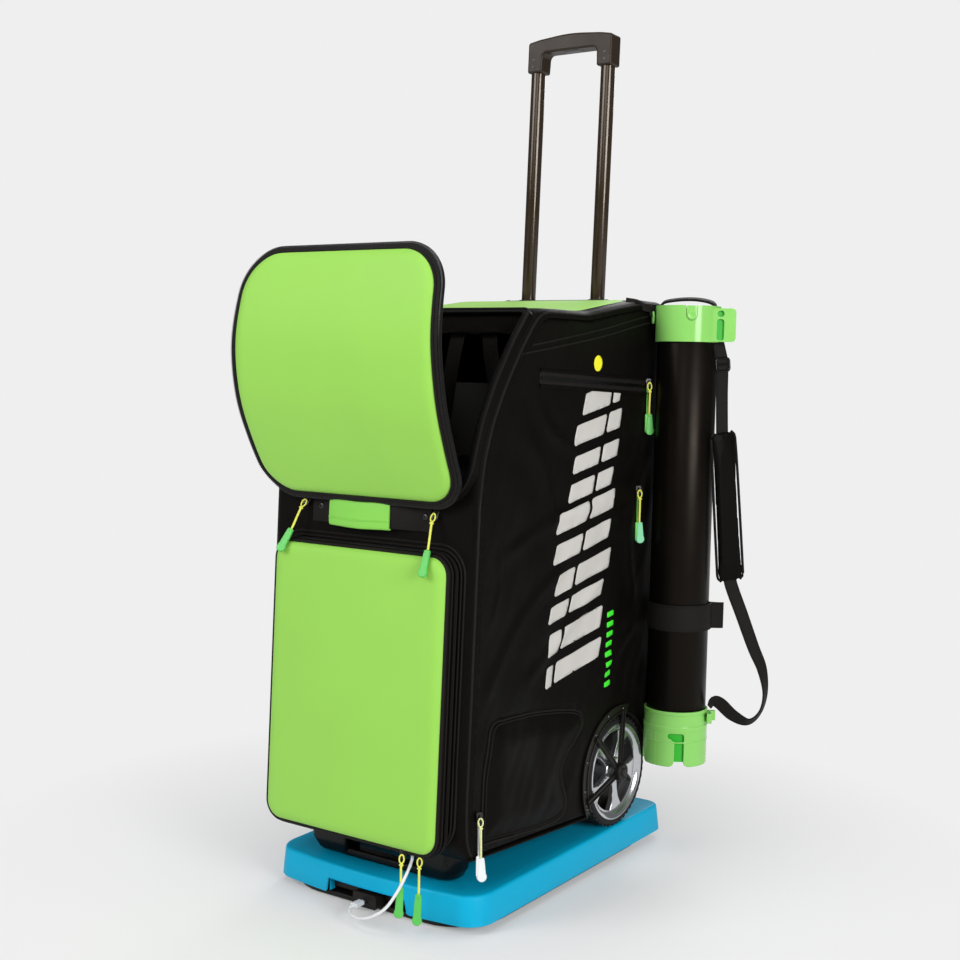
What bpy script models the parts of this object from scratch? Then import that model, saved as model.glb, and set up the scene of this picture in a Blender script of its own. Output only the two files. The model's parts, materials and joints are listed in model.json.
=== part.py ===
"""Portable tennis ball machine: a wheeled soft bag with a ball launcher inside, standing on a
powered turning base, with a ball pick-up tube strapped beside its rear right corner.

Metres, +Z up, the front faces -Y. The origin is on the floor, on the axis that the base turns
about. The bag has its own frame, which leans back about the wheels: x across, y to the rear from
the wheel axle, z up from the deck.
"""
import math

import bmesh
import bpy
from mathutils import Matrix, Vector

# ---------------------------------------------------------------- driving dimensions
GAP = 0.0003                # face to face between neighbouring pieces

DECK_TOP = 0.0560           # turning deck
DECK_SKIRT_BOTTOM = 0.0120
DECK_HALF = 0.1920
DECK_REAR = 0.3200
DECK_SIDE_FRONT = -0.1690   # where the straight side ends
DECK_BOW_FRONT = -0.2240    # middle of the bowed front edge
DECK_CORNER_FRONT = -0.2030
DECK_WALL = 0.0030
DECK_DRAFT = 0.0030
DECK_EDGE = 0.0040
RECESS_HALF = 0.0725        # notch in the front of the skirt
RECESS_TOP = 0.0340

PLATE_LOW = 0.0040          # fixed base plate
PLATE_HIGH = 0.0100
PLATE_HALF = 0.1650
PLATE_FRONT = -0.1900
PLATE_REAR = 0.2700
RACE_OUTER = 0.1180         # bearing ring between plate and deck
RACE_INNER = 0.1010
RACE_SPLIT = 0.0200
SECTOR_TEETH = 60           # sector gear fixed to the plate, and the motor's pinion
PINION_TEETH = 16
MODULE = 0.0020

LEAN = 0.0748               # the bag leans back by this angle, in radians
AXLE_Y = 0.1720
BAG_HALF = 0.1880
BAG_FRONT = -0.4120         # bag frame from here on: y is measured from the axle
BAG_REAR = 0.1000
BAG_BOTTOM = 0.0300
BAG_WALL = 0.0030
BAG_ROUND = 0.0140
OPENING_HALF = 0.1650
OPENING_LOW = 0.5270

WHEEL_RADIUS = 0.0875
WHEEL_Z = 0.0884
WHEEL_OUT = 0.1895          # outer face of the tyre
WHEEL_WIDTH = 0.0360
WELL_RADIUS = 0.0970
WELL_IN = 0.1460
AXLE_RADIUS = 0.0060
HUB_OUT = 0.2080            # outer face of the bracket's hub

HANDLE_X = 0.0690
HANDLE_Y = 0.0680
HANDLE_RADIUS = 0.0112
HANDLE_LOW = 0.7500
GRIP_LOW = 1.2330
GRIP_TOP = 1.2990
GRIP_HALF = 0.0905
BEZEL_LOW = 0.8436
BEZEL_TOP = 0.8490

FLAP_HINGE_Y = -0.4240
FLAP_HINGE_Z = 0.5220
FLAP_HALF = 0.1780
FLAP_CORNER = 0.0600

DOOR_HALF = 0.1610
DOOR_LOW = 0.0360
DOOR_HIGH = 0.4570
DOOR_FACE = -0.4430
DOOR_BACK = -0.4150
DOOR_CORNER = 0.0260

LAUNCH_Y = -0.2750          # pivot of the launcher
LAUNCH_Z = 0.4850
LAUNCH_ANGLE = math.radians(30)
LAUNCH_WHEEL_RADIUS = 0.0420
LAUNCH_WHEEL_OFFSET = 0.0725

TUBE_X = 0.2425             # ball tube: its own, smaller lean
TUBE_Y = 0.2705
TUBE_Z = 0.1552
TUBE_LEAN = 0.0374
TUBE_RADIUS = 0.0478
TUBE_BORE = 0.0450
TUBE_LENGTH = 0.7315
CAP_HEIGHT = 0.0890
CAP_RADIUS = 0.0510
COLLAR_HEIGHT = 0.0570
COLLAR_RADIUS = 0.0515
TUBE_SIDE = math.radians(35.7)   # direction that the ear, the lug and the strap face
BUTTON_SIDE = math.radians(-56)  # direction that the collar's button faces

CABLE_RADIUS = 0.00225

ROUND = 24                  # sides of the larger round pieces
ROUND_SMALL = 16


# ---------------------------------------------------------------- scene and materials
def clear_scene():
    for obj in list(bpy.data.objects):
        bpy.data.objects.remove(obj, do_unlink=True)


def material(name, colour, roughness, metallic=0.0):
    mat = bpy.data.materials.new(name)
    mat.use_nodes = True
    shader = mat.node_tree.nodes["Principled BSDF"]
    shader.inputs["Base Color"].default_value = (*colour, 1.0)
    shader.inputs["Roughness"].default_value = roughness
    shader.inputs["Metallic"].default_value = metallic
    mat.diffuse_color = (*colour, 1.0)
    return mat


def empty(name, location=(0, 0, 0), rotation=(0, 0, 0), parent=None):
    obj = bpy.data.objects.new(name, None)
    bpy.context.scene.collection.objects.link(obj)
    obj.location = location
    obj.rotation_euler = rotation
    obj.parent = parent
    return obj


def place(name, bm, mat, parent=None, location=(0, 0, 0), rotation=(0, 0, 0), smooth=True):
    """Turns a bmesh into an object of its own, with its faces pointing out."""
    bmesh.ops.recalc_face_normals(bm, faces=bm.faces)
    mesh = bpy.data.meshes.new(name)
    bm.to_mesh(mesh)
    bm.free()
    if smooth:
        mesh.shade_smooth()
        mesh.set_sharp_from_angle(angle=math.radians(35))
    obj = bpy.data.objects.new(name, mesh)
    bpy.context.scene.collection.objects.link(obj)
    if mat:
        mesh.materials.append(mat)
    obj.parent = parent
    obj.location = location
    obj.rotation_euler = rotation
    return obj


def guide(name, bm, parent=None, location=(0, 0, 0), rotation=(0, 0, 0)):
    """A helper solid that is cut away from a piece or fused to it, and isn't a piece itself."""
    obj = place(name, bm, None, parent, location, rotation, smooth=False)
    obj.hide_render = True
    obj.display_type = "WIRE"
    return obj


def boolean(obj, other, operation):
    mod = obj.modifiers.new(other.name, "BOOLEAN")
    mod.operation = operation
    mod.object = other
    mod.solver = "EXACT"


def cut(obj, *cutters):
    for cutter in cutters:
        boolean(obj, cutter, "DIFFERENCE")


def fuse(obj, *guides):
    for other in guides:
        boolean(obj, other, "UNION")


# ---------------------------------------------------------------- shapes
def axis_matrix(axis):
    """Turns a shape made along +Z so that it lies along the named axis."""
    if axis == "X":
        return Matrix.Rotation(math.pi / 2, 4, "Y")
    if axis == "Y":
        return Matrix.Rotation(-math.pi / 2, 4, "X")
    return Matrix.Identity(4)


def block(size, radius=0.0, segments=1, centre=(0, 0, 0)):
    bm = bmesh.new()
    bmesh.ops.create_cube(bm, size=1.0)
    bmesh.ops.scale(bm, vec=size, verts=bm.verts)
    if radius:
        bmesh.ops.bevel(bm, geom=list(bm.edges), offset=radius, segments=segments, affect="EDGES", profile=0.5)
    bmesh.ops.translate(bm, vec=centre, verts=bm.verts)
    return bm


def span(low, high, radius=0.0, segments=1):
    """A box between two corners."""
    size = [b - a for a, b in zip(low, high)]
    centre = [(a + b) / 2 for a, b in zip(low, high)]
    return block(size, radius, segments, centre)


def turned(profile, axis="Z", sides=ROUND):
    """A solid of revolution. The profile is a closed outline of (radius, height) points;
    it may start and end on the axis."""
    bm = bmesh.new()
    rings = []
    for radius, height in profile:
        if radius < 1e-6:
            rings.append([bm.verts.new((0, 0, height))])
            continue
        turn = [2 * math.pi * (k + 0.5) / sides for k in range(sides)]
        rings.append([bm.verts.new((radius * math.cos(a), radius * math.sin(a), height)) for a in turn])
    closed = len(rings[0]) > 1 and len(rings[-1]) > 1
    pairs = list(zip(rings, rings[1:]))
    if closed:
        pairs.append((rings[-1], rings[0]))
    for first, second in pairs:
        for k in range(sides):
            n = (k + 1) % sides
            corners = [first[k % len(first)], first[n % len(first)], second[n % len(second)], second[k % len(second)]]
            unique = list(dict.fromkeys(corners))
            if len(unique) > 2:
                bm.faces.new(unique)
    bmesh.ops.transform(bm, matrix=axis_matrix(axis), verts=bm.verts)
    return bm


def rod(radius, length, axis="Z", sides=ROUND, chamfer=0.0):
    h = length / 2
    if chamfer:
        profile = [(0, -h), (radius - chamfer, -h), (radius, -h + chamfer), (radius, h - chamfer),
                   (radius - chamfer, h), (0, h)]
    else:
        profile = [(0, -h), (radius, -h), (radius, h), (0, h)]
    return turned(profile, axis, sides)


def pipe(outer, inner, length, axis="Z", sides=ROUND):
    h = length / 2
    return turned([(outer, -h), (outer, h), (inner, h), (inner, -h)], axis, sides)


def slab(outline, low, high, plane="XY"):
    """An outline pushed straight from low to high, across the named plane."""
    spots = {"XY": lambda u, v, w: (u, v, w), "XZ": lambda u, v, w: (u, w, v), "YZ": lambda u, v, w: (w, u, v)}
    at = spots[plane]
    bm = bmesh.new()
    near = [bm.verts.new(at(u, v, low)) for u, v in outline]
    far = [bm.verts.new(at(u, v, high)) for u, v in outline]
    bm.faces.new(near)
    bm.faces.new(far)
    bridge(bm, near, far)
    return bm


def bridge(bm, near, far):
    count = len(near)
    for k in range(count):
        n = (k + 1) % count
        bm.faces.new((near[k], near[n], far[n], far[k]))


def loft(loops):
    """A closed solid through loops of points, with flat ends."""
    bm = bmesh.new()
    rows = [[bm.verts.new(p) for p in loop] for loop in loops]
    for near, far in zip(rows, rows[1:]):
        bridge(bm, near, far)
    bm.faces.new(rows[0])
    bm.faces.new(rows[-1])
    return bm


def shell(front, back):
    """A closed plate between two grids of points with the same rows and columns."""
    bm = bmesh.new()
    sheets = [[[bm.verts.new(p) for p in row] for row in grid] for grid in (front, back)]
    rows = len(front)
    cols = len(front[0])
    for sheet in sheets:
        for i in range(rows - 1):
            for j in range(cols - 1):
                bm.faces.new((sheet[i][j], sheet[i][j + 1], sheet[i + 1][j + 1], sheet[i + 1][j]))
    border = [(0, j) for j in range(cols)] + [(i, cols - 1) for i in range(1, rows)]
    border += [(rows - 1, j) for j in range(cols - 2, -1, -1)] + [(i, 0) for i in range(rows - 2, 0, -1)]
    near = [sheets[0][i][j] for i, j in border]
    far = [sheets[1][i][j] for i, j in border]
    bridge(bm, near, far)
    return bm


def strap(path, wide, width, thick):
    """A flat band along a path. wide gives the direction across the band at each point."""
    loops = []
    last = len(path) - 1
    for k, point in enumerate(path):
        here = Vector(point)
        ahead = Vector(path[min(k + 1, last)]) - Vector(path[max(k - 1, 0)])
        across = Vector(wide[k]).normalized()
        across -= ahead.normalized() * across.dot(ahead.normalized())
        across = across.normalized() * width[k] / 2
        out = ahead.cross(across).normalized() * thick / 2
        loops.append([here + across + out, here - across + out, here - across - out, here + across - out])
    return loft(loops)


def arc(centre, radius, start, end, count):
    """Points on a circle from one angle to another, in degrees."""
    points = []
    for k in range(count):
        a = math.radians(start + (end - start) * k / (count - 1))
        points.append((centre[0] + radius * math.cos(a), centre[1] + radius * math.sin(a)))
    return points


def rounded(left, right, low, high, radius, count=4):
    """A rectangle with round corners, anticlockwise."""
    return (arc((right - radius, low + radius), radius, -90, 0, count)
            + arc((right - radius, high - radius), radius, 0, 90, count)
            + arc((left + radius, high - radius), radius, 90, 180, count)
            + arc((left + radius, low + radius), radius, 180, 270, count))


def smooth_points(route, count):
    """Evenly spaced points on a smooth curve through the route's own points."""
    ends = [2 * Vector(route[0]) - Vector(route[1])] + [Vector(p) for p in route]
    ends.append(2 * Vector(route[-1]) - Vector(route[-2]))
    dense = []
    steps = 40
    for k in range(1, len(ends) - 2):
        a, b, c, d = ends[k - 1], ends[k], ends[k + 1], ends[k + 2]
        for s in range(steps):
            t = s / steps
            dense.append(0.5 * (2 * b + (c - a) * t + (2 * a - 5 * b + 4 * c - d) * t * t
                                + (3 * b - a - 3 * c + d) * t ** 3))
    dense.append(Vector(route[-1]))
    marks = [0.0]
    for p, q in zip(dense, dense[1:]):
        marks.append(marks[-1] + (q - p).length)
    points = []
    k = 0
    for n in range(count):
        target = marks[-1] * n / (count - 1)
        while k < len(marks) - 2 and marks[k + 1] < target:
            k += 1
        t = (target - marks[k]) / (marks[k + 1] - marks[k])
        points.append(dense[k].lerp(dense[k + 1], t))
    return points


# ---------------------------------------------------------------- fixed base
def deck_outline(grow, corner_count=5):
    """Plan outline of the deck, anticlockwise, grown outwards by a distance."""
    half = DECK_HALF + grow
    front_corner = 0.0400 + grow
    rear_corner = 0.0200 + grow
    bow_half = DECK_HALF - 0.0400
    sag = DECK_CORNER_FRONT - DECK_BOW_FRONT
    points = []
    for k in range(7):
        x = -bow_half + 2 * bow_half * k / 6
        points.append((x, DECK_BOW_FRONT - grow + sag * (x / bow_half) ** 2))
    corner_y = DECK_CORNER_FRONT - grow + front_corner
    points += arc((half - front_corner, corner_y), front_corner, -72, 0, corner_count)
    points += arc((half - rear_corner, DECK_REAR + grow - rear_corner), rear_corner, 0, 90, 4)
    points += arc((-half + rear_corner, DECK_REAR + grow - rear_corner), rear_corner, 90, 180, 4)
    points += arc((-half + front_corner, corner_y), front_corner, 180, 252, corner_count)
    return points


def base_plate(mats):
    outline = rounded(-PLATE_HALF, PLATE_HALF, PLATE_FRONT, PLATE_REAR, 0.0300)
    obj = place("base_plate", slab(outline, PLATE_LOW, PLATE_HIGH), mats["dark_plastic"])
    mid = (PLATE_HIGH + RACE_SPLIT) / 2
    overlap = 0.0010
    race = pipe(RACE_OUTER, RACE_INNER, RACE_SPLIT - PLATE_HIGH - GAP + overlap, sides=32)
    fuse(obj, guide("plate_race", race, location=(0, 0, mid - (GAP + overlap) / 2)))
    cut(obj, guide("plate_bore", rod(0.0165, 0.03), location=(0, 0, 0.008)))
    return obj


def base_feet(mats):
    for side, x in (("left", -1), ("right", 1)):
        low = (x * 0.1300 - 0.0180, PLATE_FRONT + 0.0120, 0.0)
        high = (x * 0.1300 + 0.0180, PLATE_REAR - 0.0120, PLATE_LOW - GAP)
        place("base_foot_" + side, span(low, high, 0.0012), mats["rubber"])


def pivot_post(mats):
    """Central post: a pad on the floor, a stem through the plate and a cap in the deck's hub."""
    profile = [(0, 0), (0.0260, 0), (0.0260, PLATE_LOW - GAP), (0.0160, PLATE_LOW - GAP),
               (0.0160, 0.0440), (0.0150, 0.0450), (0, 0.0450)]
    place("pivot_post", turned(profile), mats["steel"])


def gear_outline(teeth, first, last, inner, backlash=0.30):
    """Teeth from number first to last as straight-sided points; a whole wheel where inner is None."""
    pitch_radius = MODULE * teeth / 2
    tip = pitch_radius + 0.85 * MODULE
    root = pitch_radius - 1.15 * MODULE
    step = 2 * math.pi / teeth
    root_half = step * (0.5 - backlash / 2) * 0.68
    tip_half = step * (0.5 - backlash / 2) * 0.30
    points = []
    for k in range(first, last):
        middle = k * step
        for radius, offset in ((root, -root_half), (tip, -tip_half), (tip, tip_half), (root, root_half)):
            points.append((radius * math.cos(middle + offset), radius * math.sin(middle + offset)))
    if inner:
        start = math.degrees((last - 1) * step + root_half)
        end = math.degrees(first * step - root_half)
        points += arc((0, 0), inner, start, end, 9)
    return points


def sector_gear(mats):
    """Toothed sector around the post, facing the front, bolted flat on the plate."""
    outline = gear_outline(SECTOR_TEETH, -8, 9, 0.0300)
    bm = slab(outline, PLATE_HIGH + GAP, PLATE_HIGH + GAP + 0.0065)
    place("sector_gear", bm, mats["steel"], rotation=(0, 0, -math.pi / 2), smooth=False)


# ---------------------------------------------------------------- turning deck
def deck_shell(mats, deck):
    """Moulded deck: flat top, drafted skirt open below, notch at the front, hub for the post."""
    def level(grow, z):
        return [(x, y, z) for x, y in deck_outline(grow)]
    loops = [level(DECK_DRAFT, DECK_SKIRT_BOTTOM), level(0.0, DECK_TOP - DECK_EDGE),
             level(-DECK_EDGE * 0.3, DECK_TOP - DECK_EDGE * 0.3), level(-DECK_EDGE, DECK_TOP)]
    obj = place("deck_shell", loft(loops), mats["blue"], deck)
    inside = [level(DECK_DRAFT - DECK_WALL, DECK_SKIRT_BOTTOM - 0.01),
              level(-DECK_WALL, DECK_TOP - DECK_WALL)]
    cut(obj, guide("deck_cavity", loft(inside), deck))
    notch = span((-RECESS_HALF, -0.26, DECK_SKIRT_BOTTOM - 0.01), (RECESS_HALF, -0.19, RECESS_TOP), 0.002)
    cut(obj, guide("deck_notch", notch, deck))
    hub_low = RACE_SPLIT + 0.004
    hub = pipe(0.0230, 0.0168, DECK_TOP - DECK_WALL - hub_low + 0.001, sides=ROUND)
    fuse(obj, guide("deck_hub", hub, deck, (0, 0, (DECK_TOP - DECK_WALL + hub_low + 0.001) / 2)))


def bearing_ring(mats, deck):
    low = RACE_SPLIT
    high = DECK_TOP - DECK_WALL - GAP
    ring = pipe(RACE_OUTER, RACE_INNER, high - low, sides=32)
    place("bearing_ring", ring, mats["dark_plastic"], deck, (0, 0, (low + high) / 2))


def drive_pieces(mats, deck, pinion_frame):
    """Motor and pinion that roll the deck round the sector, the circuit box and its socket."""
    top = DECK_TOP - DECK_WALL - GAP
    centre_y = -MODULE * (SECTOR_TEETH + PINION_TEETH) / 2
    motor_low = 0.0235
    motor = rod(0.0150, top - motor_low, sides=ROUND_SMALL, chamfer=0.001)
    place("turn_motor", motor, mats["motor"], deck, (0, centre_y, (top + motor_low) / 2))
    pinion = slab(gear_outline(PINION_TEETH, 0, PINION_TEETH, None), 0.0, 0.0065)
    lift = PLATE_HIGH + GAP
    wheel = place("drive_pinion", pinion, mats["steel"], pinion_frame, (0, 0, lift), smooth=False)
    step = 2 * math.pi / PINION_TEETH
    wheel.rotation_euler = (0, 0, math.pi / 2 + step / 2)
    low = lift + 0.0010
    high = motor_low - GAP
    spindle = rod(0.0035, high - low, sides=12)
    fuse(wheel, guide("pinion_spindle", spindle, pinion_frame, (0, 0, (low + high) / 2)))
    box = span((-0.0900, -0.2090, 0.0150), (0.0900, -0.1260, top), 0.003)
    place("drive_box", box, mats["dark_plastic"], deck)
    socket = span((-0.0190, -0.2300, 0.0075), (0.0250, -0.2090 - GAP, 0.0290), 0.003, 2)
    obj = place("power_socket", socket, mats["dark_plastic"], deck)
    cut(obj, guide("socket_port", block((0.0092, 0.012, 0.0036)), deck, (0.004, -0.2300, 0.0190)))


# ---------------------------------------------------------------- bag
def side_profile(inset=0.0):
    """Side view of the bag, anticlockwise from the lower front, moved inwards by inset."""
    points = [(-0.3940, BAG_BOTTOM), (0.0850, BAG_BOTTOM), (BAG_REAR, 0.0450), (BAG_REAR, 0.8300),
              (0.0820, 0.8430), (0.0200, 0.8420), (-0.0650, 0.8270), (-0.1500, 0.8100), (-0.2650, 0.8060),
              (-0.2880, 0.7960), (-0.3250, 0.7500), (-0.3620, 0.6930), (-0.3890, 0.6400), (-0.4060, 0.5850),
              (BAG_FRONT, 0.5300), (BAG_FRONT, 0.1000), (-0.4080, 0.0520)]
    if not inset:
        return points
    moved = []
    count = len(points)
    for k in range(count):
        before = Vector(points[k - 1])
        here = Vector(points[k])
        after = Vector(points[(k + 1) % count])
        first = (here - before).normalized()
        second = (after - here).normalized()
        inward = Vector((-first.y - second.y, first.x + second.x))
        moved.append(tuple(here + inward * inset / (1 + first.dot(second))))
    return moved


def bag_form(inset, edge):
    """The bag's solid form, moved inwards by inset, with its two side rims rounded by edge."""
    half = BAG_HALF - inset
    steps = [(-half, edge), (-half + edge * 0.3, edge * 0.3), (-half + edge, 0.0)]
    steps += [(-x, pull) for x, pull in reversed(steps)]
    return loft([[(x, y, z) for y, z in side_profile(inset + pull)] for x, pull in steps])


def wheel_wells(name, bag, radius, inner):
    """Cutters for both wheel wells, open to the rear and below."""
    cutters = []
    for side, sign in (("left", -1), ("right", 1)):
        outline = arc((0, WHEEL_Z), radius, 90, 218, 9) + [(-0.0900, -0.0100), (0.1300, -0.0100),
                                                          (0.1300, WHEEL_Z + radius)]
        low, high = sorted((sign * inner, sign * 0.2300))
        cutters.append(guide(name + "_" + side, slab(outline, low, high, "YZ"), bag))
    return cutters


def bag_shell(mats, bag):
    obj = place("bag_shell", bag_form(0.0, BAG_ROUND), mats["nylon"], bag)
    cavity = guide("bag_cavity", bag_form(BAG_WALL, BAG_ROUND - BAG_WALL), bag)
    cut(cavity, *wheel_wells("cavity_well", bag, WELL_RADIUS + BAG_WALL, WELL_IN - BAG_WALL))
    cut(obj, *wheel_wells("bag_well", bag, WELL_RADIUS, WELL_IN))
    cut(obj, cavity)
    opening = [(-0.4600, OPENING_LOW), (-0.3800, OPENING_LOW), (-0.2700, 0.7700), (-0.2700, 0.8400),
               (-0.4600, 0.8400)]
    cut(obj, guide("front_opening", slab(opening, -OPENING_HALF, OPENING_HALF, "YZ"), bag))
    pocket = slab(rounded(-0.1430, 0.1430, 0.0600, 0.4400, 0.0250), -0.4300, -0.4000, "XZ")
    cut(obj, guide("door_opening", pocket, bag))
    cut(obj, guide("axle_hole", rod(0.0080, 0.3400, "X", ROUND_SMALL), bag, (0, 0, WHEEL_Z)))
    for side, sign in (("left", -1), ("right", 1)):
        hole = rod(0.0150, 0.0500, sides=ROUND_SMALL)
        cut(obj, guide("guide_hole_" + side, hole, bag, (sign * HANDLE_X, HANDLE_Y, 0.8400)))


def top_panel(mats, bag):
    """Moulded lid panel on the sloping top, crowned across its middle."""
    line = [(-0.2480, 0.8090), (-0.1500, 0.8130), (-0.0700, 0.8290), (0.0120, 0.8440)]
    half = 0.1500
    columns = [-half, -half * 0.7, 0.0, half * 0.7, half]
    front = [[(x, y, z + 0.0035 + 0.0030 * (1 - (x / half) ** 2)) for x in columns] for y, z in line]
    back = [[(x, y, z + 0.0005) for x in columns] for y, z in line]
    place("top_panel", shell(front, back), mats["green"], bag)


def back_frame(mats, bag):
    """Back board with two side arms whose pins carry the launcher."""
    obj = place("inner_frame", span((-0.1600, 0.0880, 0.2000), (0.1600, 0.0950, 0.7800), 0.001),
                mats["dark_plastic"], bag)
    for side, sign in (("left", -1), ("right", 1)):
        low, high = sorted((sign * 0.1500, sign * 0.1590))
        arm = span((low, LAUNCH_Y - 0.0140, LAUNCH_Z - 0.0140), (high, 0.0900, LAUNCH_Z + 0.0140))
        fuse(obj, guide("frame_arm_" + side, arm, bag))
        pin = rod(0.0060, 0.1050, "X", ROUND_SMALL)
        fuse(obj, guide("frame_pin_" + side, pin, bag, (sign * 0.1005, LAUNCH_Y, LAUNCH_Z)))


def handle_guides(mats, bag):
    low = 0.1200
    high = BEZEL_LOW - 2 * GAP
    for side, sign in (("left", -1), ("right", 1)):
        tube = pipe(0.0140, 0.0122, high - low, sides=ROUND_SMALL)
        place("handle_guide_" + side, tube, mats["aluminium"], bag, (sign * HANDLE_X, HANDLE_Y, (low + high) / 2))


def handle_bezel(mats, bag):
    plate = slab(rounded(-0.1080, 0.1080, 0.0420, 0.0940, 0.0140), BEZEL_LOW, BEZEL_TOP)
    obj = place("handle_bezel", plate, mats["gloss_black"], bag)
    for side, sign in (("left", -1), ("right", 1)):
        hole = rod(0.0125, 0.0300, sides=ROUND_SMALL)
        cut(obj, guide("bezel_hole_" + side, hole, bag, (sign * HANDLE_X, HANDLE_Y, BEZEL_TOP)))


def deck_level(y):
    """Height of the deck's top, plus a gap, in the leaning bag's frame."""
    return (GAP + y * math.sin(LEAN)) / math.cos(LEAN)


def front_stand(mats, bag):
    """Moulded foot under the front edge: two blocks and a low bar with a gap above it."""
    front = -0.3980
    rear = -0.3300

    def foot(left, right, rear, high, lift):
        side = [(front, deck_level(front) + lift), (rear, deck_level(rear) + lift), (rear, high), (front, high)]
        return slab(side, left, right, "YZ")
    top = BAG_BOTTOM - GAP
    obj = place("front_stand", foot(0.1200, 0.1800, rear, top, 0.0), mats["dark_plastic"], bag, smooth=False)
    fuse(obj, guide("stand_left", foot(-0.1180, -0.0590, rear, top, 0.0), bag))
    bar_top = deck_level(front) + 0.0160
    fuse(obj, guide("stand_bar", foot(-0.0700, 0.1300, front + 0.0240, bar_top, 0.0005), bag))


def grab_handle(mats, bag):
    """Webbing handle with its ends flat on the bag and its middle standing out."""
    width = 0.0400
    xs = (-0.1080, -0.0800, -0.0600, -0.0350, 0.0, 0.0350, 0.0600, 0.0800, 0.1080)
    outs = (0.0, 0.0, 0.0080, 0.0150, 0.0180, 0.0150, 0.0080, 0.0, 0.0)
    path = [(x, BAG_FRONT - 0.0018 - out, 0.5000) for x, out in zip(xs, outs)]
    band = strap(path, [(0, 0, 1)] * len(path), [width] * len(path), 0.0030)
    place("grab_handle", band, mats["nylon"], bag)


def wheel_axle(mats, bag):
    place("wheel_axle", rod(AXLE_RADIUS, 2 * 0.2020, "X"), mats["steel"], bag, (0, 0, WHEEL_Z))


def wheel_bracket(mats, bag, side, sign):
    """Arch trim round the front of the well with three arms dished out to the axle's end."""
    inner = 0.0930
    outer = 0.1090
    band = arc((0, WHEEL_Z), outer, 78, 214, 10) + list(reversed(arc((0, WHEEL_Z), inner, 78, 214, 10)))
    low, high = sorted((sign * (BAG_HALF + 0.0008), sign * (BAG_HALF + 0.0042)))
    obj = place("wheel_bracket_" + side, slab(band, low, high, "YZ"), mats["dark_plastic"], bag)
    hub = rod(0.0225, HUB_OUT - 0.1945, "X", ROUND_SMALL, 0.0015)
    hub_x = sign * (HUB_OUT + 0.1945) / 2
    fuse(obj, guide("bracket_hub_" + side, hub, bag, (hub_x, 0, WHEEL_Z)))
    for n, angle in enumerate((88, 139, 200)):
        a = math.radians(angle)
        reach = (inner + outer) / 2
        rim_point = Vector((sign * (BAG_HALF + 0.0025), reach * math.cos(a), WHEEL_Z + reach * math.sin(a)))
        hub_point = Vector((sign * (HUB_OUT - 0.0042), 0.0050 * math.cos(a), WHEEL_Z + 0.0050 * math.sin(a)))
        across = (0, -math.sin(a), math.cos(a))
        arm = strap([rim_point, hub_point], [across, across], [0.0130, 0.0170], 0.0036)
        fuse(obj, guide(f"bracket_arm_{side}_{n}", arm, bag))
    cut(obj, guide("bracket_bore_" + side, rod(AXLE_RADIUS + 0.0004, 0.0200, "X"), bag, (sign * 0.1926, 0, WHEEL_Z)))


def road_wheel(mats, bag, side, sign):
    """Spoked rim with a tyre round it, on its own turning frame."""
    frame = empty("wheel_frame_" + side, (sign * (WHEEL_OUT - WHEEL_WIDTH / 2), 0, WHEEL_Z), parent=bag)
    half = WHEEL_WIDTH / 2
    rim_out = 0.0790
    bore = AXLE_RADIUS + 0.0005
    profile = [(bore, -half + 0.002), (0.0200, -half + 0.002), (0.0200, -0.003), (0.0700, -0.003),
               (0.0700, -half + 0.003), (rim_out, -half + 0.003), (rim_out, half - 0.003), (0.0720, half - 0.001),
               (0.0700, 0.006), (0.0200, 0.006), (0.0180, half - 0.001), (bore, half - 0.001)]
    rim = place("wheel_rim_" + side, turned(profile, "X", 32), mats["silver"], frame)
    for k in range(5):
        a = 2 * math.pi * (k + 0.5) / 5
        window = rod(0.0155, 0.0300, "X", 10)
        spot = (0, 0.0450 * math.cos(a), 0.0450 * math.sin(a))
        cut(rim, guide(f"rim_window_{side}_{k}", window, frame, spot))
    inner = rim_out + GAP
    tyre = [(inner, -half + 0.003), (WHEEL_RADIUS - 0.004, -half), (WHEEL_RADIUS, -half + 0.006),
            (WHEEL_RADIUS, half - 0.006), (WHEEL_RADIUS - 0.004, half), (inner, half - 0.003)]
    place("tyre_" + side, turned(tyre, "X", 32), mats["rubber"], frame)


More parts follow.
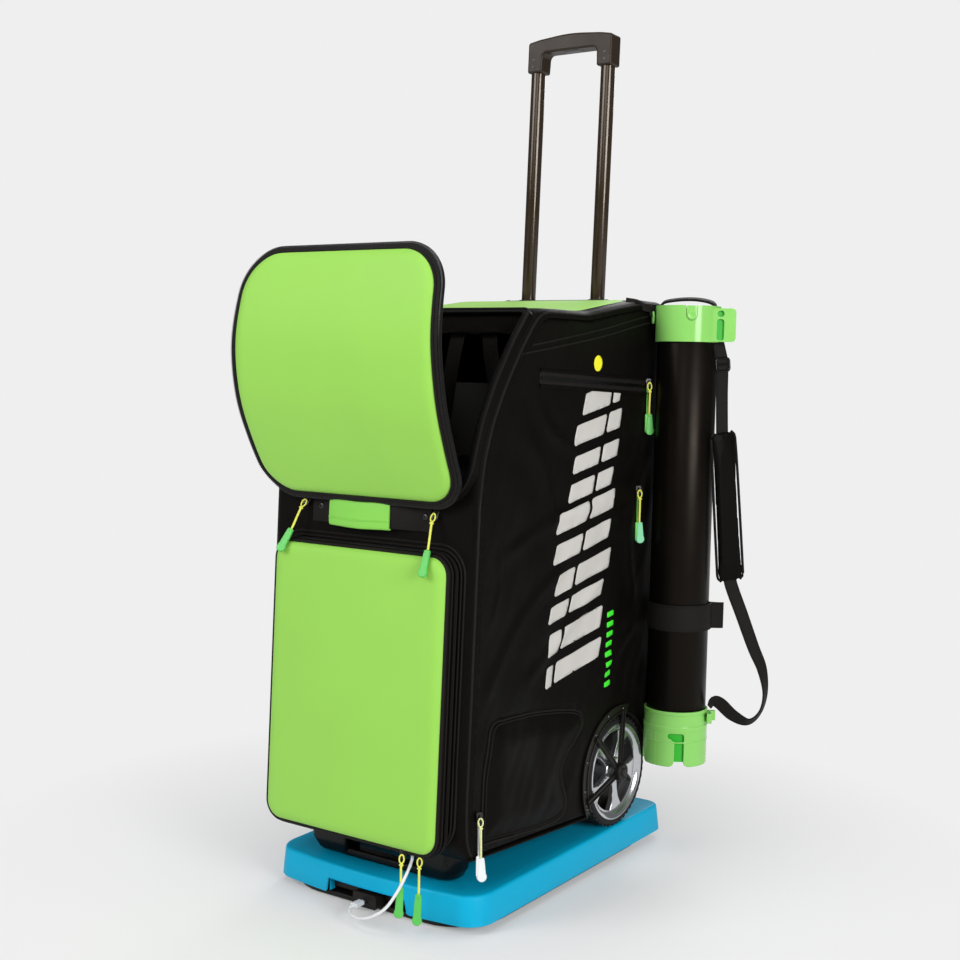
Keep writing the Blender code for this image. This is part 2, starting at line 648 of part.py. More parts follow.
# ---------------------------------------------------------------- telescopic handle
def handle(mats, bag):
    frame = empty("handle_frame", (0, HANDLE_Y, GRIP_LOW), parent=bag)
    length = GRIP_LOW + 0.0120 - HANDLE_LOW
    for side, sign in (("left", -1), ("right", 1)):
        tube = pipe(HANDLE_RADIUS, HANDLE_RADIUS - 0.0012, length, sides=ROUND_SMALL)
        place("handle_tube_" + side, tube, mats["gloss_black"], frame, (sign * HANDLE_X, 0, 0.0120 - length / 2))
    height = GRIP_TOP - GRIP_LOW
    bar_low = height - 0.0300
    outer = (rounded(-GRIP_HALF, GRIP_HALF, 0.0, height, 0.0200, 4)[3:-3]
             + [(-GRIP_HALF, 0.0), (-HANDLE_X + 0.0160, 0.0), (-HANDLE_X + 0.0190, bar_low - 0.008),
                (-HANDLE_X + 0.0270, bar_low), (HANDLE_X - 0.0270, bar_low),
                (HANDLE_X - 0.0190, bar_low - 0.008), (HANDLE_X - 0.0160, 0.0), (GRIP_HALF, 0.0)])
    grip = slab(outer, -0.0160, 0.0160, "XZ")
    obj = place("handle_grip", grip, mats["dark_plastic"], frame)
    for side, sign in (("left", -1), ("right", 1)):
        hole = rod(HANDLE_RADIUS + GAP, 0.0280, sides=ROUND_SMALL)
        cut(obj, guide("grip_hole_" + side, hole, frame, (sign * HANDLE_X, 0, 0.0)))
    slot = block((0.0340, 0.0180, 0.0160))
    cut(obj, guide("grip_slot", slot, frame, (0, 0, bar_low)))
    button_frame = empty("button_frame", (0, 0, bar_low), parent=frame)
    button = span((-0.0160, -0.0080, -0.0030), (0.0160, 0.0080, 0.0030), 0.0015)
    place("handle_button", button, mats["grey_plastic"], button_frame)


# ---------------------------------------------------------------- flap and door
def flap_line():
    """Side view of the open flap from its hinge to its top edge, in the flap's own frame."""
    points = [(-0.4310, 0.5310), (-0.4560, 0.5650), (-0.4740, 0.6000), (-0.4940, 0.6500), (-0.5070, 0.7000),
              (-0.5140, 0.7450), (-0.5140, 0.7900), (-0.5090, 0.8350), (-0.5030, 0.8720)]
    return [(y - FLAP_HINGE_Y, z - FLAP_HINGE_Z) for y, z in points]


def flap_width(share, half):
    """Half width of the flap at a share of its height: round corners at the top and bottom."""
    height = 0.3550
    low = share * height
    high = height - low
    low_corner = 0.0500
    inset = 0.0
    if high < FLAP_CORNER:
        inset = FLAP_CORNER - math.sqrt(max(FLAP_CORNER ** 2 - (FLAP_CORNER - high) ** 2, 0.0))
    if low < low_corner:
        inset = max(inset, low_corner - math.sqrt(max(low_corner ** 2 - (low_corner - low) ** 2, 0.0)))
    return half - 0.8 * inset


def flap_grid(half, depth, crown, trim=0.0):
    """Grid of points at a depth behind the flap's face, with a crown towards the front."""
    line = flap_line()
    rows = []
    last = len(line) - 1
    for k, (y, z) in enumerate(line):
        ahead = Vector(line[min(k + 1, last)]) - Vector(line[max(k - 1, 0)])
        ahead.normalize()
        back = Vector((ahead.y, -ahead.x))
        share = trim + (1 - 2 * trim) * k / last
        width = flap_width(share, half)
        row = []
        for t in (-1.0, -0.75, -0.4, 0.0, 0.4, 0.75, 1.0):
            bulge = crown * (1 - t * t) * math.sin(math.pi * min(max(share, 0.04), 0.96)) ** 0.5
            spot = Vector((y, z)) + back * (depth - bulge)
            row.append((width * t, spot.x, spot.y))
        rows.append(row)
    return rows


def flap(mats, bag):
    frame = empty("flap_frame", (0, FLAP_HINGE_Y, FLAP_HINGE_Z), parent=bag)
    inset = 0.0080
    panel = shell(flap_grid(FLAP_HALF - inset, 0.0, 0.0040, 0.02), flap_grid(FLAP_HALF - inset, 0.0040, 0.0040, 0.02))
    place("flap_panel", panel, mats["green"], frame)
    rim = shell(flap_grid(FLAP_HALF, 0.0050, 0.0040), flap_grid(FLAP_HALF, 0.0085, 0.0040))
    place("flap_rim", rim, mats["nylon"], frame)


def door(mats, bag):
    """Lower front door: a crowned panel on a shallow gusset frame, hinged along its left edge."""
    frame = empty("door_frame_axis", (-DOOR_HALF - 0.0020, DOOR_BACK, 0.0), parent=bag)
    shift = DOOR_HALF + 0.0020
    outline = rounded(-DOOR_HALF, DOOR_HALF, DOOR_LOW, DOOR_HIGH, DOOR_CORNER)
    ring = slab([(x + shift, z) for x, z in outline], DOOR_FACE - DOOR_BACK + 0.0075, 0.0, "XZ")
    obj = place("door_gusset", ring, mats["nylon"], frame)
    wall = 0.0060
    hole = rounded(-DOOR_HALF + wall, DOOR_HALF - wall, DOOR_LOW + wall, DOOR_HIGH - wall, DOOR_CORNER - wall)
    cutter = slab([(x + shift, z) for x, z in hole], -0.0500, 0.0100, "XZ")
    cut(obj, guide("door_hollow", cutter, frame))
    inset = 0.0060
    front_y = DOOR_FACE - DOOR_BACK
    levels = []
    for shrink, y in ((0.0, front_y + 0.0075 - GAP), (0.0, front_y + 0.0045), (0.0050, front_y + 0.0015),
                      (0.0220, front_y)):
        edge = inset + shrink
        corner = DOOR_CORNER - 0.002
        loop = rounded(-DOOR_HALF + edge, DOOR_HALF - edge, DOOR_LOW + edge, DOOR_HIGH - edge, corner)
        levels.append([(x + shift, y, z) for x, z in loop])
    place("door_panel", loft(levels), mats["green"], frame)


# ---------------------------------------------------------------- launcher and feed
def hopper(mats, bag):
    """Open-topped funnel for the balls, with a spout that slopes down to the launcher."""
    wall = 0.0025
    floor = 0.4990

    def form(shrink, low, high):
        levels = ((0.1150, -0.1520, 0.0480, low), (0.1600, -0.1630, 0.0500, high))
        return loft([[(-half + shrink, front + shrink, z), (half - shrink, front + shrink, z),
                      (half - shrink, rear - shrink, z), (-half + shrink, rear - shrink, z)]
                     for half, front, rear, z in levels])
    obj = place("hopper", form(0.0, floor - wall, 0.7000), mats["dark_plastic"], bag, smooth=False)
    direction = Vector((0, -0.80, -0.60))
    mouth = Vector((0, -0.1080, floor))
    turn = Vector((0, 0, 1)).rotation_difference(direction).to_euler()
    length = 0.0450
    fuse(obj, guide("hopper_spout", rod(0.0400, length), bag, mouth + direction * length / 2, turn))
    cut(obj, guide("hopper_hollow", form(wall, floor, 0.7050), bag))
    cut(obj, guide("hopper_shaft_hole", rod(0.0070, 0.0200, sides=12), bag, (0, -0.0520, floor)))
    cut(obj, guide("hopper_bore", rod(0.0370, 0.1100), bag, mouth + direction * 0.0420, turn))


def feed(mats, bag):
    """Paddle wheel on the hopper's floor and the motor under it."""
    place("feed_motor", rod(0.0120, 0.0400, sides=ROUND_SMALL, chamfer=0.001), mats["motor"], bag,
          (0, -0.0520, 0.4965 - GAP - 0.0200))
    frame = empty("feed_frame", (0, -0.0520, 0.5010), parent=bag)
    outline = []
    arms = 5
    for k in range(arms):
        a = 2 * math.pi * k / arms
        for radius, offset in ((0.0200, -0.60), (0.0200, -0.18), (0.0860, -0.04), (0.0860, 0.04), (0.0200, 0.18)):
            outline.append((radius * math.cos(a + offset), radius * math.sin(a + offset)))
    rotor = place("feed_rotor", slab(outline, 0.0, 0.0300), mats["grey_plastic"], frame, smooth=False)
    fuse(rotor, guide("rotor_shaft", rod(0.0050, 0.0100, sides=12), frame, (0, 0, 0.0010)))


def launcher(mats, bag):
    """Tilting launcher: a housing with a bore, two counter-turning wheels and their motors."""
    frame = empty("launcher_frame_axis", (0, LAUNCH_Y, LAUNCH_Z), (-LAUNCH_ANGLE, 0, 0), bag)
    body = span((-0.0540, -0.0750, -0.0800), (0.0540, 0.0700, 0.0800), 0.003)
    obj = place("launcher_housing", body, mats["dark_plastic"], frame)
    barrel = rod(0.0410, 0.0450, "Y", ROUND)
    fuse(obj, guide("launch_barrel", barrel, frame, (0, -0.0925, 0)))
    cut(obj, guide("launch_bore", rod(0.0370, 0.2400, "Y", ROUND), frame, (0, -0.0200, 0)))
    for name, sign in (("upper", 1), ("lower", -1)):
        centre = (0, 0, sign * LAUNCH_WHEEL_OFFSET)
        cut(obj, guide("wheel_pocket_" + name, rod(0.0460, 0.0660, "X", ROUND), frame, centre))
        cut(obj, guide("shaft_hole_" + name, rod(0.0060, 0.1400, "X", 12), frame, centre))
        profile = [(0.0050, -0.0300), (LAUNCH_WHEEL_RADIUS - 0.002, -0.0300), (LAUNCH_WHEEL_RADIUS, -0.0280),
                   (LAUNCH_WHEEL_RADIUS, 0.0280), (LAUNCH_WHEEL_RADIUS - 0.002, 0.0300), (0.0050, 0.0300)]
        spin = empty("launch_wheel_frame_" + name, centre, parent=frame)
        place("launch_wheel_" + name, turned(profile, "X", ROUND), mats["rubber"], spin)
        motor = turned([(0, -0.0450), (0.0040, -0.0450), (0.0040, 0.0545), (0.0220, 0.0545), (0.0220, 0.0900),
                        (0, 0.0900)], "X", ROUND_SMALL)
        place("launch_motor_" + name, motor, mats["motor"], frame, centre)
    for side, sign in (("left", -1), ("right", 1)):
        hole = rod(0.0066, 0.0200, "X", ROUND_SMALL)
        cut(obj, guide("pivot_socket_" + side, hole, frame, (sign * 0.0550, 0, 0)))


def controls(mats, bag):
    """Control panel beside the launcher, with a speed knob and a power button."""
    frame = empty("panel_frame", (-0.1080, -0.3350, 0.5750), (math.radians(37), 0, 0), bag)
    place("control_panel", block((0.0780, 0.0800, 0.0120), 0.002), mats["dark_plastic"], frame)
    knob_frame = empty("knob_frame", (-0.0180, 0.0100, 0.0060), parent=frame)
    knob = turned([(0, GAP), (0.0120, GAP), (0.0120, 0.0100), (0.0105, 0.0120), (0, 0.0120)], "Z", ROUND_SMALL)
    place("speed_knob", knob, mats["grey_plastic"], knob_frame)
    button_frame = empty("power_frame", (0.0200, 0.0100, 0.0060), parent=frame)
    place("power_button", rod(0.0070, 0.0040, sides=ROUND_SMALL, chamfer=0.0008), mats["green"], button_frame,
          (0, 0, 0.0046))


def battery(mats, bag):
    place("battery", span((-0.0850, -0.3600, 0.0340), (0.0850, -0.2500, 0.2100), 0.006, 2), mats["grey_plastic"], bag)


# ---------------------------------------------------------------- ball tube
def side_vector(angle, radius, z=0.0):
    return Vector((radius * math.cos(angle), radius * math.sin(angle), z))


def ball_tube(mats, tube):
    low = 0.0585
    high = TUBE_LENGTH - 0.0050
    place("ball_tube", pipe(TUBE_RADIUS, TUBE_BORE, high - low, sides=32), mats["tube"], tube,
          (0, 0, (low + high) / 2))


def tube_cap(mats, tube):
    """Lower end fitting with four slots, one of them a tall hooked channel, and a lug for the strap."""
    inner = TUBE_RADIUS + GAP
    profile = [(inner, CAP_HEIGHT), (CAP_RADIUS - 0.0010, CAP_HEIGHT), (CAP_RADIUS - 0.0010, 0.0600),
               (CAP_RADIUS, 0.0580), (CAP_RADIUS, 0.0030), (CAP_RADIUS - 0.0020, 0.0), (inner, 0.0)]
    obj = place("tube_cap", turned(profile, "Z", 32), mats["green_plastic"], tube)
    for k in range(4):
        a = BUTTON_SIDE + math.radians(2) + k * math.pi / 2
        slot = block((0.0140, 0.0160, 0.0300))
        cut(obj, guide(f"cap_slot_{k}", slot, tube, side_vector(a, 0.0500, 0.0040), (0, 0, a)))
    a = BUTTON_SIDE + math.radians(2)
    channel = block((0.0140, 0.0160, 0.0450))
    cut(obj, guide("cap_channel", channel, tube, side_vector(a, 0.0500, 0.0325), (0, 0, a)))
    hook = block((0.0140, 0.0200, 0.0120))
    cut(obj, guide("cap_hook", hook, tube, side_vector(a - 0.2000, 0.0500, 0.0490), (0, 0, a)))
    lug = span((CAP_RADIUS - 0.0020, -0.0120, 0.0700), (CAP_RADIUS + 0.0110, 0.0120, 0.0800), 0.0015)
    fuse(obj, guide("cap_lug", lug, tube, rotation=(0, 0, TUBE_SIDE)))
    eye = block((0.0035, 0.0180, 0.0200))
    cut(obj, guide("cap_lug_eye", eye, tube, side_vector(TUBE_SIDE, CAP_RADIUS + 0.0060, 0.0750), (0, 0, TUBE_SIDE)))


def tube_collar(mats, tube):
    """Upper end fitting with a hooked ear and a hole for the push button."""
    low = TUBE_LENGTH - COLLAR_HEIGHT
    inner = TUBE_RADIUS + GAP
    profile = [(inner, low), (COLLAR_RADIUS, low), (COLLAR_RADIUS, TUBE_LENGTH - 0.001),
               (COLLAR_RADIUS - 0.001, TUBE_LENGTH), (inner, TUBE_LENGTH)]
    obj = place("tube_collar", turned(profile, "Z", 32), mats["green_plastic"], tube)
    reach = 0.0760
    ear = [(0.0495, -0.0140), (0.0560, -0.0140), (0.0560, 0.0040), (0.0620, 0.0080), (0.0620, -0.0140),
           (reach, -0.0140), (reach, -0.0105), (0.0655, -0.0105), (0.0655, 0.0120), (0.0500, 0.0120)]
    fuse(obj, guide("collar_ear", slab(ear, low + 0.0020, TUBE_LENGTH - 0.0060), tube, rotation=(0, 0, TUBE_SIDE)))
    spot = side_vector(BUTTON_SIDE, COLLAR_RADIUS, TUBE_LENGTH - 0.0220)
    turn = (0, math.pi / 2, BUTTON_SIDE)
    cut(obj, guide("collar_hole", rod(0.0082, 0.0120, sides=ROUND_SMALL), tube, spot, turn))
    frame = empty("collar_button_frame", spot, (0, 0, BUTTON_SIDE), tube)
    place("collar_button", rod(0.0074, 0.0042, "X", ROUND_SMALL, 0.0008), mats["green_plastic"], frame, (0.0008, 0, 0))


def carry_loop(mats, tube):
    """Webbing loop arched over the open end, its ends outside the collar."""
    outer = COLLAR_RADIUS + 0.0016
    top = TUBE_LENGTH
    side = Vector((math.cos(TUBE_SIDE), math.sin(TUBE_SIDE), 0))
    across = Vector((-side.y, side.x, 0))
    line = [(-outer, top - 0.0120), (-outer, top + 0.0010), (-0.0420, top + 0.0090), (-0.0200, top + 0.0120),
            (0.0100, top + 0.0125), (0.0320, top + 0.0110), (0.0460, top + 0.0060)]
    path = [side * r + Vector((0, 0, z)) for r, z in line]
    place("carry_loop", strap(path, [across] * len(path), [0.0200] * len(path), 0.0022), mats["nylon"], tube)


def shoulder_strap(mats, tube):
    """Strap from the collar's ear to the cap's lug, with a pad along its upper half. Each point is
    (distance out from the tube's axis, distance forward, height, turn of its width in degrees)."""
    side = Vector((math.cos(TUBE_SIDE), math.sin(TUBE_SIDE), 0))
    across = Vector((-side.y, side.x, 0))
    upper = ((0.0510, 0.0210, 0.6640, 40), (0.0590, 0.0230, 0.6400, 40), (0.0590, 0.0250, 0.5900, 38),
             (0.0575, 0.0270, 0.5380, 35))
    pad = ((0.0575, 0.0275, 0.5330, 32), (0.0610, 0.0260, 0.4900, 27), (0.0680, 0.0220, 0.4150, 20),
           (0.0750, 0.0160, 0.3450, 16), (0.0800, 0.0120, 0.2940, 15))
    lower = ((0.0805, 0.0120, 0.2890, 15), (0.1010, 0.0095, 0.2370, 25), (0.1220, 0.0060, 0.1840, 45),
             (0.1380, 0.0030, 0.1480, 65), (0.1450, 0.0, 0.1090, 85), (0.1380, 0.0, 0.0770, 90),
             (0.1190, 0.0, 0.0600, 90), (0.0940, 0.0, 0.0700, 90), (0.0720, 0.0, 0.0900, 90),
             (0.0600, 0.0, 0.0940, 90))
    for name, line, width, thick in (("strap_upper", upper, 0.0220, 0.0020), ("strap_pad", pad, 0.0440, 0.0080),
                                     ("strap_lower", lower, 0.0220, 0.0020)):
        path = [side * u - across * v + Vector((0, 0, z)) for u, v, z, turn in line]
        wide = [side * math.cos(math.radians(turn)) + across * math.sin(math.radians(turn)) for *_, turn in line]
        place(name, strap(path, wide, [width] * len(path), thick), mats["nylon"], tube)


def tube_wrap(mats, bag_body, tube):
    """Hook-and-loop band round the tube, with an arm to the bag and a free tab."""
    inner = TUBE_RADIUS + 0.0010
    obj = place("tube_wrap", pipe(inner + 0.0022, inner, 0.0420, sides=32), mats["nylon"], bag_body,
                tube.location + Vector((0, TUBE_LEAN * 0.2350, 0.2350)), (-TUBE_LEAN, 0, 0))
    tab = span((inner + 0.0005, -0.0012, -0.0190), (inner + 0.0230, 0.0012, 0.0190))
    spot = obj.location
    fuse(obj, guide("wrap_tab", tab, bag_body, spot, (-TUBE_LEAN, 0, TUBE_SIDE)))


# ---------------------------------------------------------------- cable and zip pulls
def cable_route():
    """The free cable's own points, from the bag's zip gap to the back of the plug."""
    return [(0.1100, -0.2490, 0.1225), (0.1100, -0.2530, 0.1080), (0.1060, -0.2620, 0.0880),
            (0.0980, -0.2720, 0.0650), (0.0840, -0.2800, 0.0420), (0.0620, -0.2840, 0.0260),
            (0.0400, -0.2830, 0.0180), (0.0200, -0.2780, 0.0165), (0.0080, -0.2680, 0.0175),
            (0.0040, -0.2560, 0.0190)]


def usb_cable(mats, deck):
    points = smooth_points(cable_route(), 30)
    data = bpy.data.curves.new("usb_cable", "CURVE")
    data.dimensions = "3D"
    data.bevel_depth = CABLE_RADIUS
    data.bevel_resolution = 2
    data.use_fill_caps = True
    spline = data.splines.new("POLY")
    spline.points.add(len(points) - 1)
    for spot, point in zip(spline.points, points):
        spot.co = (*point, 1.0)
    obj = bpy.data.objects.new("usb_cable", data)
    bpy.context.scene.collection.objects.link(obj)
    data.materials.append(mats["white"])
    obj.parent = deck
    plug = span((0.0040 - 0.0060, -0.2550, 0.0190 - 0.0035), (0.0040 + 0.0060, -0.2305, 0.0190 + 0.0035), 0.0015)
    place("usb_plug", plug, mats["white"], deck)


def zip_pull(mats, bag, name, spot, length):
    """Cord and moulded tab hanging from a slider, turning about the point it hangs from."""
    frame = empty(name + "_frame", spot, parent=bag)
    frame.rotation_euler = (LEAN, 0, 0)
    tab_length = 0.0300
    cord = span((-0.0010, -0.0011, -length + tab_length - 0.002), (0.0010, 0.0011, -0.0010))
    obj = place(name, cord, mats["green_plastic"], frame, smooth=False)
    tab = span((-0.0022, -0.0055, -length), (0.0022, 0.0055, -length + tab_length), 0.0015)
    fuse(obj, guide(name + "_tab", tab, frame))


def zip_pulls(mats, bag):
    out = BAG_HALF + 0.0032
    zip_pull(mats, bag, "zip_pull_side_upper", (out, 0.0340, 0.7130), 0.0800)
    zip_pull(mats, bag, "zip_pull_side_middle", (out, 0.0190, 0.5410), 0.0820)
    zip_pull(mats, bag, "zip_pull_pocket", (out, -0.3840, 0.0900), 0.0850)


# ---------------------------------------------------------------- assembly
def make_materials():
    return {
        "blue": material("blue_plastic", (0.0, 0.37, 0.66), 0.35),
        "green": material("green_foam", (0.31, 0.70, 0.11), 0.60),
        "green_plastic": material("green_plastic", (0.20, 0.66, 0.11), 0.35),
        "nylon": material("black_nylon", (0.012, 0.011, 0.011), 0.70),
        "dark_plastic": material("black_plastic", (0.018, 0.018, 0.019), 0.50),
        "gloss_black": material("gloss_black", (0.012, 0.011, 0.010), 0.18, 0.4),
        "grey_plastic": material("grey_plastic", (0.10, 0.10, 0.11), 0.50),
        "rubber": material("rubber", (0.015, 0.015, 0.015), 0.80),
        "silver": material("silver_paint", (0.62, 0.63, 0.65), 0.30, 0.8),
        "steel": material("steel", (0.55, 0.56, 0.58), 0.35, 1.0),
        "aluminium": material("aluminium", (0.70, 0.71, 0.73), 0.35, 1.0),
        "motor": material("motor_can", (0.30, 0.30, 0.32), 0.40, 0.9),
        "tube": material("tube_plastic", (0.022, 0.019, 0.017), 0.45),
        "white": material("white_plastic", (0.80, 0.80, 0.80), 0.40),
    }


def build():
    clear_scene()
    mats = make_materials()
    base_plate(mats)
    base_feet(mats)
    pivot_post(mats)
    sector_gear(mats)

    deck = empty("deck_axis")
    pinion_y = -MODULE * (SECTOR_TEETH + PINION_TEETH) / 2
    pinion = empty("pinion_axis", (0, pinion_y, 0), parent=deck)
    deck_shell(mats, deck)
    bearing_ring(mats, deck)
    drive_pieces(mats, deck, pinion)

    bag = empty("bag_frame", (0, AXLE_Y, DECK_TOP), (-LEAN, 0, 0), deck)
    bag_shell(mats, bag)
    top_panel(mats, bag)
    back_frame(mats, bag)
    handle_guides(mats, bag)
    handle_bezel(mats, bag)
    front_stand(mats, bag)
    grab_handle(mats, bag)
    wheel_axle(mats, bag)
    for side, sign in (("left", -1), ("right", 1)):
        wheel_bracket(mats, bag, side, sign)
        road_wheel(mats, bag, side, sign)
    handle(mats, bag)
    flap(mats, bag)
    door(mats, bag)
    hopper(mats, bag)
    feed(mats, bag)
    launcher(mats, bag)
    controls(mats, bag)
    battery(mats, bag)
    zip_pulls(mats, bag)

    tube = empty("tube_frame", (TUBE_X, TUBE_Y, TUBE_Z), (-TUBE_LEAN, 0, 0), deck)
    ball_tube(mats, tube)
    tube_cap(mats, tube)
    tube_collar(mats, tube)
    carry_loop(mats, tube)
    shoulder_strap(mats, tube)
    tube_wrap(mats, deck, tube)
    usb_cable(mats, deck)


build()
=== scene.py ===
"""Looks of a portable tennis ball machine: fabric, foam, plastic, rubber and metal around its CAD frame.

Metres, +Z up, the front faces -Y. Pieces of the bag are made in the bag's own leaning frame (x across, y to
the rear from the wheel axle, z up from the deck) and pieces of the ball tube in the tube's frame.
"""

import json
import math
import random

import bmesh
import bpy
import numpy as np
from mathutils import Matrix, Vector, noise
from mathutils.geometry import delaunay_2d_cdt

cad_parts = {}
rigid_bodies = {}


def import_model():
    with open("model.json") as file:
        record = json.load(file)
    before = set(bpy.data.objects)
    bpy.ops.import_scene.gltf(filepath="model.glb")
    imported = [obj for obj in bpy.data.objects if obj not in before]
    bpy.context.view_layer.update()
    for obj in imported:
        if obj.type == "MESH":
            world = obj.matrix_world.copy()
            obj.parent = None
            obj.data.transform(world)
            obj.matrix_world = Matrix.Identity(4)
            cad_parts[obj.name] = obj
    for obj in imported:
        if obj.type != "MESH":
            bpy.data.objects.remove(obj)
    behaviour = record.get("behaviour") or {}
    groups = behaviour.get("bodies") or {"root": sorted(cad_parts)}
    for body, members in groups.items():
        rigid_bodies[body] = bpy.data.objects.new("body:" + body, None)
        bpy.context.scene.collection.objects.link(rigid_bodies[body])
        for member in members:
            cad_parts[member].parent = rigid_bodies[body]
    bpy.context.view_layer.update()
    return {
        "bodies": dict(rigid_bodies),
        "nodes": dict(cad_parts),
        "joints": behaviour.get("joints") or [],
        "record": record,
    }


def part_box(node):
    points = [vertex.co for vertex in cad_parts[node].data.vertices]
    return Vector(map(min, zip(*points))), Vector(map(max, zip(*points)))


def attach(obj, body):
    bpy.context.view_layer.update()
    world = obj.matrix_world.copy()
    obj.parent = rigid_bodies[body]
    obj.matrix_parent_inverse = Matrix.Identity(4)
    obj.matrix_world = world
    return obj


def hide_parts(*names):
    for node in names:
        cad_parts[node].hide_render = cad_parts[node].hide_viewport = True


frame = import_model()
NODES = frame["nodes"]

# ---------------------------------------------------------------- frames and driving sizes
LEAN = 0.0748
AXLE_Y = 0.1720
DECK_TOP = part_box("deck_shell")[1].z
BAG = Matrix.Translation((0, AXLE_Y, DECK_TOP)) @ Matrix.Rotation(-LEAN, 4, "X")
TUBE_LEAN = 0.0374
TUBE = Matrix.Translation((0.2425, 0.2705, 0.1552)) @ Matrix.Rotation(-TUBE_LEAN, 4, "X")
WORLD = Matrix.Identity(4)

BAG_HALF = 0.1880
EDGE = 0.0120               # rounding between the bag's sides and its front, top and back
OPENING_HALF = 0.1650
FLAP_HALF = 0.1780
FLAP_INSET = 0.0095         # width of the black border round the green flap
DOOR_HALF = 0.1550
DOOR_LOW = 0.0350
DOOR_HIGH = 0.4510
WHEEL_Z = 0.0884
WELL_RADIUS = 0.0970
WELL_INNER = 0.1460         # half the bag's width between its wheel wells
PORT_X, PORT_Z = 0.0040, 0.0190
HANDLE_X = 0.0690
HANDLE_Y = 0.0680
TUBE_SIDE = math.radians(35.7)
TUBE_OUT = np.array((math.cos(TUBE_SIDE), math.sin(TUBE_SIDE), 0))
TUBE_ACROSS = np.array((-TUBE_OUT[1], TUBE_OUT[0], 0))
BUTTON_SIDE = math.radians(-56)
TUBE_LENGTH = 0.7315
CAP = TUBE @ Matrix.Translation((0, 0, -0.0045))


# ---------------------------------------------------------------- materials
def linear(hex_colour):
    """Linear RGB of a web colour such as 98D95C."""
    values = [int(hex_colour[k:k + 2], 16) / 255 for k in (0, 2, 4)]
    return [v / 12.92 if v <= 0.04045 else ((v + 0.055) / 1.055) ** 2.4 for v in values]


class Shader:
    """A Principled material with short calls for the nodes that feed it."""

    def __init__(self, name, colour, roughness, metallic=0.0, **sockets):
        self.material = bpy.data.materials.new(name)
        self.material.use_nodes = True
        self.tree = self.material.node_tree
        self.shader = self.tree.nodes["Principled BSDF"]
        self.colour = colour
        self.shader.inputs["Base Color"].default_value = (*colour, 1)
        self.shader.inputs["Roughness"].default_value = roughness
        self.shader.inputs["Metallic"].default_value = metallic
        for key, value in sockets.items():
            self.shader.inputs[key.replace("_", " ")].default_value = value
        self.height = None
        self.coords = self.node("ShaderNodeTexCoord")

    def node(self, kind, inputs=None, **settings):
        made = self.tree.nodes.new(kind)
        for key, value in settings.items():
            setattr(made, key, value)
        for key, value in (inputs or {}).items():
            if isinstance(value, bpy.types.NodeSocket):
                self.tree.links.new(value, made.inputs[key])
            else:
                made.inputs[key].default_value = value
        return made

    def maths(self, operation, a, b=0.0, c=0.0):
        return self.node("ShaderNodeMath", {0: a, 1: b, 2: c}, operation=operation).outputs[0]

    def noise(self, scale, detail=2.0, space="Object", roughness=0.5):
        inputs = {"Vector": self.coords.outputs[space], "Scale": scale, "Detail": detail, "Roughness": roughness}
        return self.node("ShaderNodeTexNoise", inputs).outputs["Fac"]

    def spread(self, value, low, high, to_low, to_high):
        inputs = {0: value, 1: low, 2: high, 3: to_low, 4: to_high}
        return self.node("ShaderNodeMapRange", inputs).outputs[0]

    def weave(self, pitch, space="UV"):
        """Over-and-under threads: 0 to 1, one thread every pitch metres along both directions."""
        parts = self.node("ShaderNodeSeparateXYZ", {0: self.coords.outputs[space]}).outputs
        rate = math.pi / pitch
        along = self.maths("SINE", self.maths("MULTIPLY", parts[0], rate))
        across = self.maths("SINE", self.maths("MULTIPLY", parts[1], rate))
        product = self.maths("MULTIPLY", along, across)
        return self.maths("MULTIPLY_ADD", product, 0.5, 0.5)

    def vary_colour(self, value, dark, light):
        """Scales the colour between two shares of itself by a value from 0 to 1."""
        low = [min(c * dark, 1) for c in self.colour]
        high = [min(c * light, 1) for c in self.colour]
        mix = self.node("ShaderNodeMix", {"Factor": value, 6: (*low, 1), 7: (*high, 1)}, data_type="RGBA")
        self.tree.links.new(mix.outputs[2], self.shader.inputs["Base Color"])
        return self

    def vary_roughness(self, value, low, high):
        self.tree.links.new(self.spread(value, 0.3, 0.7, low, high), self.shader.inputs["Roughness"])
        return self

    def bump(self, value, distance, strength=1.0):
        inputs = {"Height": value, "Distance": distance, "Strength": strength}
        if self.height:
            inputs["Normal"] = self.height
        self.height = self.node("ShaderNodeBump", inputs).outputs[0]
        self.tree.links.new(self.height, self.shader.inputs["Normal"])
        return self


def fabric(name, colour, pitch, roughness=0.75, sheen=0.15, tint=(0.75, 0.8, 1.0), shine=0.2):
    """Woven nylon: threads, slubs and a broad change of tone."""
    made = Shader(name, colour, roughness, Sheen_Weight=sheen, Sheen_Roughness=0.45, Sheen_Tint=(*tint, 1),
                  Specular_IOR_Level=shine)
    broad = made.noise(9.0, 3.0)
    slub = made.noise(420.0, 2.0, "UV")
    made.vary_colour(made.maths("MULTIPLY_ADD", broad, 0.55, made.maths("MULTIPLY", slub, 0.45)), 0.6, 1.6)
    made.vary_roughness(broad, roughness - 0.1, min(roughness + 0.1, 1.0))
    made.bump(made.weave(pitch), 0.00016, 0.7)
    made.bump(slub, 0.0003, 0.5)
    return made.material


def foam(name, colour):
    """Foam board faced with a fine stretch knit."""
    made = Shader(name, colour, 0.58, Sheen_Weight=0.12, Sheen_Roughness=0.5, Sheen_Tint=(0.8, 1.0, 0.6, 1),
                  Specular_IOR_Level=0.35)
    broad = made.noise(7.0, 2.0)
    fine = made.noise(900.0, 2.0)
    made.vary_colour(made.maths("MULTIPLY_ADD", broad, 0.6, made.maths("MULTIPLY", fine, 0.4)), 0.93, 1.07)
    made.vary_roughness(broad, 0.52, 0.64)
    made.bump(fine, 0.00012, 0.5)
    made.bump(made.noise(38.0, 3.0), 0.0004, 0.35)
    return made.material


